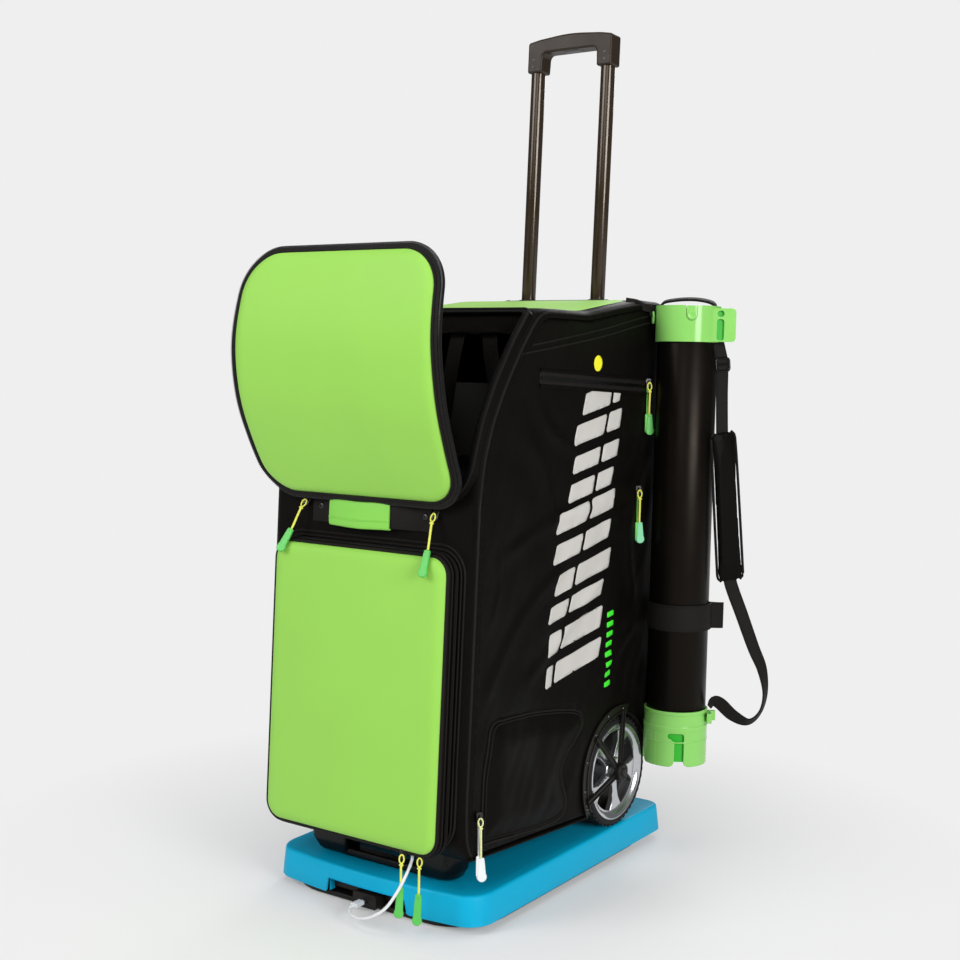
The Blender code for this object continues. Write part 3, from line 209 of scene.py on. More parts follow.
def moulded(name, colour, roughness, grain=900.0, depth=0.00006, wear=0.08, **sockets):
    """Moulded plastic or rubber: fine grain and a little uneven gloss."""
    made = Shader(name, colour, roughness, **sockets)
    broad = made.noise(14.0, 4.0)
    made.vary_colour(broad, 1.0 - wear, 1.0 + wear)
    made.vary_roughness(broad, max(roughness - 0.08, 0.05), min(roughness + 0.08, 1.0))
    made.bump(made.noise(grain, 2.0), depth, 0.6)
    return made.material


def metal(name, colour, roughness, brushed=60.0, **sockets):
    """Metal with drawn or machined streaks along Z and a little tarnish."""
    made = Shader(name, colour, roughness, 1.0, **sockets)
    stretch = made.node("ShaderNodeMapping", {"Vector": made.coords.outputs["Object"], "Scale": (1, 1, 0.02)})
    streak = made.node("ShaderNodeTexNoise", {"Vector": stretch.outputs[0], "Scale": brushed * 20}).outputs["Fac"]
    made.vary_colour(made.noise(25.0, 3.0), 0.9, 1.08)
    made.vary_roughness(streak, max(roughness - 0.1, 0.05), roughness + 0.12)
    made.bump(streak, 0.00004, 0.4)
    return made.material


GREEN = (0.262, 0.560, 0.072)
MATERIALS = {
    "nylon": fabric("woven_black_nylon", (0.0028, 0.0022, 0.0018), 0.0011, 0.50, 0.0, shine=0.05),
    "webbing": fabric("black_webbing", (0.0070, 0.0056, 0.0046), 0.0022, 0.7, 0.01, shine=0.15),
    "tape": fabric("black_zip_tape", (0.0065, 0.0055, 0.0048), 0.0009, 0.6, 0.01, shine=0.15),
    "lining": fabric("black_lining", (0.0060, 0.0050, 0.0042), 0.0008, 0.8, 0.0, shine=0.1),
    "green": foam("green_foam_face", GREEN),
    "green_cloth": foam("green_sleeve_cloth", (0.205, 0.560, 0.070)),
    "green_plastic": moulded("green_moulded_plastic", (0.235, 0.570, 0.125), 0.16, Specular_IOR_Level=0.3),
    # darker copy of the green plastic: painted shade for the hollows behind the collar's holes and inside the cap
    "green_painted_shade": moulded("green_plastic_painted_shade", (0.012, 0.400, 0.008), 0.4),
    "green_pale": moulded("pale_green_soft_plastic", (0.180, 0.560, 0.300), 0.4, 700.0, 0.00003, 0.04),
    "blue": moulded("blue_moulded_plastic", (0.001, 0.365, 0.590), 0.45, 700.0, 0.00008, Specular_IOR_Level=0.15),
    "black_plastic": moulded("black_moulded_plastic", (0.0075, 0.0062, 0.0052), 0.42, 800.0, 0.0001, 0.2,
                             Specular_IOR_Level=0.22),
    "gloss_plastic": moulded("gloss_black_plastic", (0.0040, 0.0034, 0.0030), 0.26, 500.0, 0.00002, 0.1,
                             Specular_IOR_Level=0.2),
    "pole": moulded("brown_black_lacquer", (0.0260, 0.0160, 0.0085), 0.18, 40.0, 0.0000005, 0.05,
                    Specular_Tint=(1.0, 0.92, 0.82, 1)),
    "grip": moulded("brown_black_grip", (0.0210, 0.0125, 0.0065), 0.45, 800.0, 0.00005, 0.1,
                    Specular_IOR_Level=0.3),
    "green_tab": moulded("green_soft_tab", (0.085, 0.470, 0.075), 0.35, 700.0, 0.00003, 0.04),
    "grey_plastic": moulded("grey_moulded_plastic", (0.06, 0.06, 0.065), 0.5, 800.0, 0.0001, 0.12),
    "gloss_black": moulded("gloss_black_coating", (0.0110, 0.0080, 0.0060), 0.18, 500.0, 0.00002, 0.1,
                           Coat_Weight=0.6, Coat_Roughness=0.06),
    "tube": moulded("satin_tube_plastic", (0.0030, 0.0023, 0.0018), 0.36, 1200.0, 0.00003, 0.15,
                    Specular_IOR_Level=0.10, Specular_Tint=(1.0, 0.86, 0.72, 1)),
    "rubber": moulded("black_rubber", (0.0080, 0.0080, 0.0080), 0.75, 500.0, 0.00015, 0.25, Specular_IOR_Level=0.3),
    "white": moulded("white_soft_plastic", (0.72, 0.73, 0.74), 0.38, 700.0, 0.00003, 0.03),
    "print": moulded("white_print", (0.52, 0.50, 0.47), 0.6, 900.0, 0.00008, 0.05),
    "yellow": moulded("yellow_print", (0.85, 0.80, 0.015), 0.6, 900.0, 0.00008, 0.05),
    "green_print": moulded("green_print", (0.04, 0.75, 0.02), 0.6, 900.0, 0.00008, 0.05),
    "cord": fabric("yellow_green_cord", linear("D3D65A"), 0.0008, 0.7, 0.1, (1.0, 1.0, 0.7)),
    "silver": moulded("silver_paint", (0.55, 0.56, 0.58), 0.20, 600.0, 0.00002, 0.08, Metallic=0.9, Coat_Weight=0.4),
    "steel": metal("machined_steel", (0.45, 0.46, 0.48), 0.35),
    "cord_pale": fabric("pale_yellow_cord", (0.62, 0.66, 0.30), 0.0008, 0.7, 0.1, (1.0, 1.0, 0.7)),
    "black_metal": moulded("black_enamelled_metal", (0.0080, 0.0075, 0.0070), 0.35),
    "dark_steel": metal("black_zip_metal", (0.05, 0.05, 0.052), 0.35),
    "aluminium": metal("drawn_aluminium", (0.60, 0.61, 0.63), 0.32),
    "motor": metal("plated_motor_can", (0.28, 0.28, 0.30), 0.38),
}


# ---------------------------------------------------------------- making pieces
def piece(name, mesh, look, body, matrix=BAG, replaces=(), smooth=30.0):
    """An object from a mesh or bmesh, placed, given its look and set on its body."""
    if isinstance(mesh, bmesh.types.BMesh):
        bm, mesh = mesh, bpy.data.meshes.new(name)
        bm.to_mesh(mesh)
        bm.free()
    mesh.name = name
    obj = bpy.data.objects.new(name, mesh)
    bpy.context.scene.collection.objects.link(obj)
    if smooth:
        mesh.shade_smooth()
        mesh.set_sharp_from_angle(angle=math.radians(smooth))
    mesh.materials.clear()
    mesh.materials.append(MATERIALS[look])
    obj.matrix_world = matrix
    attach(obj, body)
    if replaces:
        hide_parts(*replaces)
    return obj


def soften(obj, width, segments=3, angle=35.0):
    """Rounds a hard piece's sharp edges."""
    mod = obj.modifiers.new("soft_edges", "BEVEL")
    mod.width = width
    mod.segments = segments
    mod.limit_method = "ANGLE"
    mod.angle_limit = math.radians(angle)
    obj.data.shade_smooth()
    obj.modifiers.new("even_normals", "WEIGHTED_NORMAL").keep_sharp = True
    return obj


def thicken(obj, thickness):
    """Gives a sheet its thickness behind its face, or before it where negative."""
    mod = obj.modifiers.new("thickness", "SOLIDIFY")
    mod.thickness = thickness
    mod.offset = -1
    return obj


def mesh_of(points, faces, uvs=None):
    """A mesh from arrays of points and faces, with UVs per point, in metres."""
    mesh = bpy.data.meshes.new("made")
    mesh.from_pydata([tuple(p) for p in points], [], [tuple(int(i) for i in f) for f in faces])
    if uvs is not None:
        layer = mesh.uv_layers.new(name="metres")
        index = np.zeros(len(mesh.loops), int)
        mesh.loops.foreach_get("vertex_index", index)
        layer.data.foreach_set("uv", np.asarray(uvs, np.float32)[index].ravel())
    mesh.update()
    return mesh


def join_meshes(meshes):
    """One mesh from several."""
    bm = bmesh.new()
    for mesh in meshes:
        bm.from_mesh(mesh)
        bpy.data.meshes.remove(mesh)
    made = bpy.data.meshes.new("joined")
    bm.to_mesh(made)
    bm.free()
    return made


# ---------------------------------------------------------------- outlines and paths
def unit(vectors):
    """Each row at length one."""
    return vectors / np.linalg.norm(vectors, axis=1)[:, None]


def marks_along(line):
    """Distance from the start of a line to each of its points."""
    return np.concatenate([[0], np.cumsum(np.linalg.norm(np.diff(line, axis=0), axis=1))])


def sampled(marks, known, table):
    """The table's rows at the given marks, between its rows at the known ones."""
    return np.stack([np.interp(marks, known, table[:, k]) for k in range(table.shape[1])], 1)


def ahead_of(loop):
    """Unit direction along a closed loop at each of its points."""
    return unit(np.roll(loop, -1, 0) - np.roll(loop, 1, 0))


def outward_of(loop, ahead):
    """Unit direction out of a closed flat loop at each of its points."""
    after = np.roll(loop, -1, 0)
    area = np.sum(loop[:, 0] * after[:, 1] - after[:, 0] * loop[:, 1])
    return np.stack([ahead[:, 1], -ahead[:, 0]], 1) * (1 if area > 0 else -1)


def quads(rows, count, join_rows=False, join_count=True):
    """Faces over a grid of points, rows by count, joined up at the ends where asked."""
    return [(i * count + j, i * count + (j + 1) % count, (i + 1) % rows * count + (j + 1) % count,
             (i + 1) % rows * count + j)
            for i in range(rows if join_rows else rows - 1) for j in range(count if join_count else count - 1)]


def end_caps(rows, count):
    """The two faces that close the ends of a tube of rows of points."""
    return [tuple(range(count))[::-1], tuple(range((rows - 1) * count, rows * count))]


def flat_at(axis, value):
    """Places flat points in the plane where one coordinate has a fixed value."""
    return lambda points, depth=0.0: np.insert(points, axis, value + depth, axis=1)


def arc(centre, radius, start, end, count=9):
    """Points along an arc between two angles in degrees."""
    turn = [math.radians(start + (end - start) * k / (count - 1)) for k in range(count)]
    return [(centre[0] + radius * math.cos(a), centre[1] + radius * math.sin(a)) for a in turn]


def filleted(corners, closed=True, count=9):
    """An outline through (u, v, radius) corners, each rounded by its radius."""
    points = []
    total = len(corners)
    for k, (u, v, radius) in enumerate(corners):
        here = Vector((u, v))
        if not radius or (not closed and k in (0, total - 1)):
            points.append(here)
            continue
        before = (Vector(corners[k - 1][:2]) - here).normalized()
        after = (Vector(corners[(k + 1) % total][:2]) - here).normalized()
        half = before.angle(after) / 2
        centre = here + (before + after).normalized() * radius / math.sin(half)
        start = here + before * radius / math.tan(half) - centre
        end = here + after * radius / math.tan(half) - centre
        turn = start.angle_signed(end)
        for n in range(count):
            points.append(centre + Matrix.Rotation(-turn * n / (count - 1), 2) @ start)
    return np.array([tuple(p) for p in points])


def rounded(left, right, low, high, radius):
    return filleted([(right, low, radius), (right, high, radius), (left, high, radius), (left, low, radius)])


def spaced(points, step, closed=False):
    """The same line with its points evenly spaced, about step apart."""
    line = np.asarray(points, float)
    if closed:
        line = np.vstack([line, line[:1]])
    marks = marks_along(line)
    count = max(int(round(marks[-1] / step)), 3)
    targets = np.linspace(0, marks[-1], count + 1)
    made = sampled(targets, marks, line)
    return made[:-1] if closed else made


def smooth_line(route, step):
    """An evenly spaced smooth curve through a route's points, of two or three dimensions."""
    route = np.asarray(route, float)
    ends = np.vstack([2 * route[0] - route[1], route, 2 * route[-1] - route[-2]])
    t = np.linspace(0, 1, 30, endpoint=False)[:, None]
    dense = []
    for k in range(1, len(ends) - 2):
        a, b, c, d = ends[k - 1:k + 3]
        dense.append(0.5 * (2 * b + (c - a) * t + (2 * a - 5 * b + 4 * c - d) * t ** 2
                            + (3 * b - a - 3 * c + d) * t ** 3))
    dense.append(route[-1:])
    return spaced(np.vstack(dense), step)


def inside(points, loop):
    """Which points lie inside a closed loop."""
    x, y = points[:, 0], points[:, 1]
    found = np.zeros(len(points), bool)
    for (ax, ay), (bx, by) in zip(loop, np.roll(loop, -1, 0)):
        if ay != by:
            found ^= ((ay > y) != (by > y)) & (x < (bx - ax) * (y - ay) / (by - ay) + ax)
    return found


def nearest(points, border):
    """Distance from each point to the nearest border point."""
    best = np.full(len(points), np.inf)
    for k in range(0, len(border), 64):
        gap = points[:, None, :] - border[None, k:k + 64, :]
        best = np.minimum(best, np.sqrt((gap ** 2).sum(2)).min(1))
    return best


def triangle_grid(low, high, step):
    """Points of a triangular grid between two corners."""
    rows = []
    for n, v in enumerate(np.arange(low[1], high[1], step * 0.866)):
        u = np.arange(low[0] + step * 0.5 * (n % 2), high[0], step)
        rows.append(np.stack([u, np.full(len(u), v)], 1))
    return np.vstack(rows)


def panel(outline, place, step=0.006, holes=(), flip=False):
    """A triangulated sheet inside an outline, set in space by place(points) -> points."""
    loops = [spaced(loop, step, True) for loop in (outline, *holes)]
    grid = triangle_grid(loops[0].min(0), loops[0].max(0), step)
    keep = inside(grid, loops[0])
    for loop in loops[1:]:
        keep &= ~inside(grid, loop)
    grid = grid[keep]
    border = np.vstack(loops)
    grid = grid[nearest(grid, border) > step * 0.6]
    edges = []
    start = 0
    for loop in loops:
        count = len(loop)
        edges += [(start + k, start + (k + 1) % count) for k in range(count)]
        start += count
    flat = [Vector(p) for p in np.vstack([border, grid])]
    verts, _, faces, *_ = delaunay_2d_cdt(flat, edges, [], 0, 1e-7, False)
    verts = np.array([tuple(v) for v in verts])
    faces = np.array(faces)
    middle = verts[faces].mean(1)
    keep = inside(middle, loops[0])
    for loop in loops[1:]:
        keep &= ~inside(middle, loop)
    faces = faces[keep]
    if flip:
        faces = faces[:, ::-1]
    return mesh_of(place(verts), faces, verts)


def sweep(path, side, up, section, closed=False):
    """A section of (side, up) offsets carried along a path. side and up are vectors for each point."""
    path, side, up = (np.asarray(a, float) for a in (path, side, up))
    section = np.asarray(section, float)
    count, ring = len(path), len(section)
    points = path[:, None, :] + side[:, None, :] * section[None, :, :1] + up[:, None, :] * section[None, :, 1:]
    spans = np.broadcast_arrays(marks_along(path)[:, None], marks_along(section)[None, :])
    faces = quads(count, ring, closed)
    if not closed:
        faces += end_caps(count, ring)
    return mesh_of(points.reshape(-1, 3), faces, np.stack(spans, 2).reshape(-1, 2))


def frames_along(path, up, closed=False):
    """Side and up vectors square to a path, with up kept near the one asked for."""
    path = np.asarray(path, float)
    up = np.broadcast_to(np.asarray(up, float), path.shape)
    ahead = ahead_of(path) if closed else unit(np.gradient(path, axis=0))
    side = unit(np.cross(ahead, up))
    return side, np.cross(side, ahead)


def circle(radius, count=12, centre=(0.0, 0.0)):
    """Points round a circle, anticlockwise."""
    turn = np.linspace(0, 2 * math.pi, count, endpoint=False)
    return np.stack([centre[0] + radius * np.cos(turn), centre[1] + radius * np.sin(turn)], 1)


def tube_along(path, radius, up=(0, 0, 1), sides=12, closed=False):
    """A round cord along a path."""
    side, raised = frames_along(path, up, closed)
    return sweep(path, side, raised, circle(radius, sides), closed)


def flat_section(width, thick):
    """Section of a flat band with rounded edges, anticlockwise from its lower left."""
    half, t = width / 2, thick / 2
    return [(-half, -t * 0.5), (-half * 0.92, -t), (half * 0.92, -t), (half, -t * 0.5), (half, t * 0.5),
            (half * 0.92, t), (0, t), (-half * 0.92, t), (-half, t * 0.5)]


def turned(profile, sides=64, axis="Z"):
    """A turned solid from a closed outline of (radius, height) points; the ends may lie on the axis."""
    bm = bmesh.new()
    rings = []
    turn = np.linspace(0, 2 * math.pi, sides, endpoint=False)
    for radius, height in profile:
        if radius < 1e-6:
            rings.append([bm.verts.new((0, 0, height))])
        else:
            rings.append([bm.verts.new((radius * math.cos(a), radius * math.sin(a), height)) for a in turn])
    pairs = list(zip(rings, rings[1:]))
    if len(rings[0]) > 1 and len(rings[-1]) > 1:
        pairs.append((rings[-1], rings[0]))
    for low, high in pairs:
        for k in range(sides):
            n = (k + 1) % sides
            corners = [low[k % len(low)], low[n % len(low)], high[n % len(high)], high[k % len(high)]]
            corners = list(dict.fromkeys(corners))
            if len(corners) > 2:
                bm.faces.new(corners)
    bmesh.ops.recalc_face_normals(bm, faces=bm.faces)
    turns = {"X": Matrix.Rotation(math.pi / 2, 4, "Y"), "Y": Matrix.Rotation(-math.pi / 2, 4, "X"),
             "Z": Matrix.Identity(4)}
    bmesh.ops.transform(bm, matrix=turns[axis], verts=bm.verts)
    return bm


def slab(outline, low, high, plane="XY"):
    """An outline pushed straight from low to high, across the named plane."""
    at = {"XY": lambda u, v, w: (u, v, w), "XZ": lambda u, v, w: (u, w, v), "YZ": lambda u, v, w: (w, u, v)}[plane]
    bm = bmesh.new()
    near = [bm.verts.new(at(u, v, low)) for u, v in outline]
    far = [bm.verts.new(at(u, v, high)) for u, v in outline]
    bm.faces.new(near)
    bm.faces.new(far)
    for k in range(len(near)):
        n = (k + 1) % len(near)
        bm.faces.new((near[k], near[n], far[n], far[k]))
    bmesh.ops.recalc_face_normals(bm, faces=bm.faces)
    return bm


def block(size, centre=(0, 0, 0)):
    """A plain box."""
    bm = bmesh.new()
    bmesh.ops.create_cube(bm, size=1.0)
    bmesh.ops.scale(bm, vec=size, verts=bm.verts)
    bmesh.ops.translate(bm, vec=centre, verts=bm.verts)
    return bm


def as_mesh(bm):
    """A mesh from a bmesh, which is freed."""
    mesh = bpy.data.meshes.new("part")
    bm.to_mesh(mesh)
    bm.free()
    return mesh


def teeth(path, side, up, pitch=0.0026, reach=0.0042, rise=0.0016, wide=0.0014, offset=0.0):
    """One row of zip teeth standing along a path, each a small block that points sideways."""
    path, side, up = (np.asarray(a, float) for a in (path, side, up))
    steps = marks_along(path)
    at = np.arange(offset, steps[-1], pitch)
    spot, lateral, raised = (sampled(at, steps, table) for table in (path, side, up))
    ahead = np.cross(raised, lateral)
    points, faces = [], []
    shape = [(s, l, h) for h in (-0.5, 0.5) for s, l in ((0, -0.5), (1, -0.42), (1, 0.42), (0, 0.5))]
    sides = [(3, 2, 1, 0), (4, 5, 6, 7), (0, 1, 5, 4), (1, 2, 6, 5), (2, 3, 7, 6), (3, 0, 4, 7)]
    for k in range(len(at)):
        base = len(points)
        for s, l, h in shape:
            points.append(spot[k] + lateral[k] * reach * s + ahead[k] * wide * l + raised[k] * rise * h)
        faces += [tuple(base + i for i in quad) for quad in sides]
    return mesh_of(np.array(points), faces, np.array(points)[:, :2])


# ---------------------------------------------------------------- camera and the white cable
def camera():
    """The photo's camera, fitted to the straight edges of the base, bag and tube."""
    data = bpy.data.cameras.new("camera")
    data.lens = 55.55
    data.sensor_width = 36
    obj = bpy.data.objects.new("camera", data)
    bpy.context.scene.collection.objects.link(obj)
    obj.location = (1.3636, -1.8304, 0.8601)
    obj.rotation_euler = (math.pi / 2 - 0.1057, 0, 0.6238)
    bpy.context.scene.camera = obj


def cable():
    """The white cable from the gap in the bag's zip to its plug in the deck's socket."""
    route = [(0.1100, -0.2490, 0.1225), (0.1100, -0.2530, 0.1080), (0.1060, -0.2620, 0.0880),
             (0.0980, -0.2720, 0.0650), (0.0840, -0.2800, 0.0420), (0.0620, -0.2840, 0.0260),
             (0.0400, -0.2830, 0.0180), (0.0200, -0.2780, 0.0165), (0.0080, -0.2680, 0.0175),
             (PORT_X, -0.2560, PORT_Z)]
    path = smooth_line(route, 0.0062)
    obj = piece("white_cable", tube_along(path, 0.00225, (0, 1, 0.3), 16), "white", "deck", WORLD, ["usb_cable"])
    relief = turned([(0, -0.008), (0.0026, -0.008), (0.0026, -0.007), (0.0024, -0.0066), (0.0028, -0.0058),
                     (0.0028, -0.0046), (0.0026, -0.0042), (0.0031, -0.0034), (0.0031, -0.0022), (0.0029, -0.0018),
                     (0.0034, 0), (0, 0)], 24, "Y")
    body = slab(rounded(-0.0060, 0.0060, -0.0035, 0.0035, 0.0024), 0.0, 0.0170, "XZ")
    tongue = slab(rounded(-0.0042, 0.0042, -0.0013, 0.0013, 0.0012), 0.0170, 0.0240, "XZ")
    plug = join_meshes([as_mesh(relief), as_mesh(body)])
    place = Matrix.Translation((PORT_X, -0.2550, PORT_Z))
    plug = soften(piece("cable_plug", plug, "white", "deck", place, ["usb_plug"]), 0.0005)
    tip = soften(piece("cable_plug_tip", tongue, "steel", "deck", place), 0.0003)
    round(float(marks_along(path)[-1]), 3)


def screw(name, body, place, outer, skirt, shoulder, crown, drive, well, axis="Z"):
    """A screw head with a round drive recess: radii outer, shoulder and drive, heights skirt, crown and well."""
    profile = [(0, 0), (outer, 0), (outer, skirt), (shoulder, crown), (drive, crown), (drive - 0.0002, well),
               (0, well)]
    piece(name, turned(profile, 20, axis), "dark_steel", body, place)


# ---------------------------------------------------------------- the bag's outer form
def bag_line():
    """The bag's side outline from its lower front edge over the top to its lower rear edge."""
    corners = [(-0.3940, 0.0300), (-0.4080, 0.0520), (-0.4120, 0.1000), (-0.4120, 0.5300), (-0.4060, 0.5850),
               (-0.3890, 0.6400), (-0.3620, 0.6930), (-0.3250, 0.7500), (-0.2880, 0.7960), (-0.2650, 0.8060),
               (-0.1500, 0.8100), (-0.0650, 0.8270), (0.0200, 0.8420), (0.0820, 0.8430), (0.1000, 0.8300),
               (0.1000, 0.0450), (0.0850, 0.0300)]
    line = spaced(corners, 0.004)
    for _ in range(10):
        line[1:-1] = (line[:-2] + 2 * line[1:-1] + line[2:]) / 4
    return spaced(line, 0.004)


LINE = bag_line()
MARKS = marks_along(LINE)
AHEAD = unit(np.gradient(LINE, axis=0))
OUT = np.stack([-AHEAD[:, 1], AHEAD[:, 0]], 1)
FLAT_HALF = BAG_HALF - EDGE
BAND_HALF = FLAT_HALF + EDGE * math.pi / 2
CREST = int(np.argmax(LINE[:, 1]))


def front_mark(z):
    """Distance along the outline at which its front reaches z."""
    return float(np.interp(z, LINE[:CREST, 1], MARKS[:CREST]))


def rear_mark(z):
    """Distance along the outline at which its back comes down to z."""
    return float(np.interp(-z, -LINE[CREST:, 1], MARKS[CREST:]))


def top_mark(y):
    """Distance along the outline at which its sloping front or its top reaches y."""
    use = (MARKS > front_mark(0.56)) & (MARKS < rear_mark(0.82))
    return float(np.interp(y, LINE[use, 0], MARKS[use]))


def on_band(points, lift=0.0):
    """Points across the bag's width and along its outline, set on its front, top or back."""
    u, mark = points[:, 0], points[:, 1]
    turn = np.clip((np.abs(u) - FLAT_HALF) / EDGE, 0, math.pi / 2)
    x = np.sign(u) * (np.minimum(np.abs(u), FLAT_HALF) + EDGE * np.sin(turn))
    drop = EDGE * (1 - np.cos(turn))
    spot, out = sampled(mark, MARKS, LINE), unit(sampled(mark, MARKS, OUT))
    height = lift - drop
    x = x + np.sign(u) * lift * np.sin(turn)
    height = height + lift * (np.cos(turn) - 1)
    return np.stack([x, spot[:, 0] + out[:, 0] * height, spot[:, 1] + out[:, 1] * height], 1)


def fold_noise(points, seed, angle, stretch, scale):
    """Smooth ridges that run along one direction of a sheet, from -1 to 1."""
    c, s = math.cos(angle), math.sin(angle)
    u = (points[:, 0] * c + points[:, 1] * s) * scale / stretch
    v = (points[:, 1] * c - points[:, 0] * s) * scale
    return np.array([noise.noise((a, b, seed)) for a, b in zip(u, v)])


def ramp(value, low, high):
    """Smooth step from 0 at low to 1 at high."""
    share = np.clip((value - low) / (high - low), 0, 1)
    return share * share * (3 - 2 * share)


POCKET = np.array([(-0.3720, 0.0480), (-0.3720, 0.1190), (-0.3670, 0.1810), (-0.3570, 0.2130), (-0.3270, 0.2190),
                   (-0.2350, 0.2170), (-0.1420, 0.2070), (-0.1210, 0.1940), (-0.1230, 0.1760), (-0.1510, 0.1490),
                   (-0.1700, 0.1210), (-0.1650, 0.0480)])


def side_outline():
    """Edge of the bag's flat side, with the arch over the wheel."""
    inset = LINE - OUT * EDGE
    use = (MARKS < rear_mark(0.1290))
    arch = arc((0, WHEEL_Z), WELL_RADIUS, 25, 213, 33)
    return np.vstack([inset[use], arch])


SIDE = side_outline()
SIDE_BORDER = spaced(SIDE, 0.006, True)
POCKET_BORDER = spaced(smooth_line(np.vstack([POCKET, POCKET[:1]]), 0.004), 0.004, True)


CREASES = (((-0.370, 0.440), (-0.210, 0.500), (-0.050, 0.520), 0.0051, 0.012),
           ((-0.165, 0.440), (-0.290, 0.360), (-0.395, 0.235), 0.0051, 0.013),
           ((-0.330, 0.640), (-0.250, 0.560), (-0.215, 0.430), 0.0044, 0.016),
           ((-0.290, 0.700), (-0.240, 0.630), (-0.120, 0.590), 0.0037, 0.012),
           ((-0.060, 0.420), (-0.170, 0.330), (-0.300, 0.250), 0.0044, 0.012),
           ((0.060, 0.620), (0.000, 0.480), (0.030, 0.330), 0.0044, 0.014),
           ((0.050, 0.330), (-0.060, 0.260), (-0.110, 0.215), 0.0041, 0.010),
           ((-0.380, 0.330), (-0.350, 0.420), (-0.370, 0.500), 0.0034, 0.010))


def side_height(points):
    """How far the loose side fabric stands out of its flat plane."""
    gap = nearest(points, SIDE_BORDER)
    loose = ramp(gap, 0.0, 0.035)
    soft = (0.0040 * fold_noise(points, 3.1, 0.9, 3.2, 11.0) + 0.0026 * fold_noise(points, 7.7, -0.5, 2.5, 17.0)
            + 0.0013 * fold_noise(points, 1.9, 1.2, 4.0, 46.0))
    low = ramp(0.45 - points[:, 1], 0.0, 0.25)
    height = loose * (0.0010 + soft * (0.75 + 0.5 * low))
    for *route, rise, wide in CREASES:
        line = smooth_line(route, 0.006)
        away = nearest(points, line)
        taper = ramp(np.minimum(np.hypot(*(points - line[0]).T), np.hypot(*(points - line[-1]).T)), 0.0, 0.06)
        height += loose * taper * rise * (np.exp(-(away / wide) ** 2) - 0.5 * np.exp(-(away / (2.2 * wide)) ** 2))
    pocket = inside(points, POCKET_BORDER)
    edge = nearest(points, POCKET_BORDER)
    height += np.where(pocket, 0.0085 * ramp(edge, 0, 0.040) + 0.0016, 0.0)
    seam = np.exp(-(edge / 0.005) ** 2)
    height -= 0.0018 * seam * loose
    welt = np.exp(-((points[:, 1] - 0.707) / 0.013) ** 2) * ramp(points[:, 0], -0.30, -0.27) \
        * ramp(-points[:, 0], -0.07, -0.04)
    return height - 0.0012 * welt


def on_side(sign, lift=0.0):
    """Places flat points on the loose fabric of one side."""
    return lambda points: np.insert(points, 0, sign * (BAG_HALF + side_height(points) + lift), axis=1)


def side_cord(name, route, radius, look, sign, lift=0.0, closed=False, step=0.004):
    """A cord, seam or piping laid on the bag's side."""
    points = smooth_line(route, step)
    if closed:
        points = spaced(points, step, True)
    path = on_side(sign, lift)(points)
    piece(name, tube_along(path, radius, (1, 0, 0), 8, closed), look, "deck")


def edge_piping(sign, low, high, turn=0.95, lift=0.0008, step=0.005):
    """Path of the piping along the rounded edge between the side and the front, top and back."""
    marks = np.arange(low, high, step)
    u = np.full(len(marks), sign * (FLAT_HALF + EDGE * turn))
    return on_band(np.stack([u, marks], 1), lift)


def opening_outline(grow=0.0):
    """Edge of the launcher's opening, across the bag and along its outline."""
    low, high = front_mark(0.527), top_mark(-0.284)
    half = OPENING_HALF + 0.010 + grow
    return filleted([(half, low - grow, 0.055), (half, high + grow, 0.014), (-half, high + grow, 0.014),
                     (-half, low - grow, 0.055)])


def bag_body():
    """Front, top and back as one sheet over the bag's outline, and the two sides."""
    well, last, half = rear_mark(0.1290), MARKS[-1], BAND_HALF
    outline = np.array([(-half, 0), (half, 0), (half, well), (WELL_INNER, well), (WELL_INNER, last),
                        (-WELL_INNER, last), (-WELL_INNER, well), (-half, well)])
    door = rounded(-0.143, 0.143, front_mark(0.060), front_mark(0.440), 0.025)
    border = np.vstack([spaced(loop, 0.008, True) for loop in (outline, opening_outline(), door)])

    def place(points):
        loose = ramp(nearest(points, border), 0.0, 0.03)
        soft = (0.0018 * fold_noise(points, 5.5, 0.25, 2.5, 13.0)
                + 0.0007 * fold_noise(points, 9.1, -0.6, 3.0, 40.0))
        spots = on_band(points)
        up = on_band(points, 0.001) - spots
        return spots + up / 0.001 * (loose * soft)[:, None]

    made = panel(outline, place, 0.0065, (opening_outline(), door), flip=True)
    thicken(piece("bag_front_top_back", made, "nylon", "deck", replaces=["bag_shell"]), 0.0022)
    for sign, name in ((1, "right"), (-1, "left")):
        made = panel(SIDE, on_side(sign), 0.0055, flip=sign < 0)
        thicken(piece("bag_side_" + name, made, "nylon", "deck"), 0.0022)
        path = edge_piping(sign, 0.004, MARKS[-1] - 0.10)
        piece("bag_piping_" + name, tube_along(path, 0.0021, (sign, 0, 0), 10), "webbing", "deck")
        path = edge_piping(sign, 0.004, MARKS[-1] - 0.10, 0.45, -0.0002)
        piece("bag_stitching_" + name, tube_along(path, 0.0009, (sign, 0, 0), 6), "tape", "deck")
        wheel_well(sign, name)
    front, before, rear = -0.394, -0.077, 0.085
    floor = np.array([(-BAG_HALF, front), (BAG_HALF, front), (BAG_HALF, before), (WELL_INNER, before),
                      (WELL_INNER, rear), (-WELL_INNER, rear), (-WELL_INNER, before), (-BAG_HALF, before)])
    under = panel(floor, flat_at(2, 0.0305), 0.015, flip=True)
    thicken(piece("bag_bottom", under, "nylon", "deck"), -0.003)


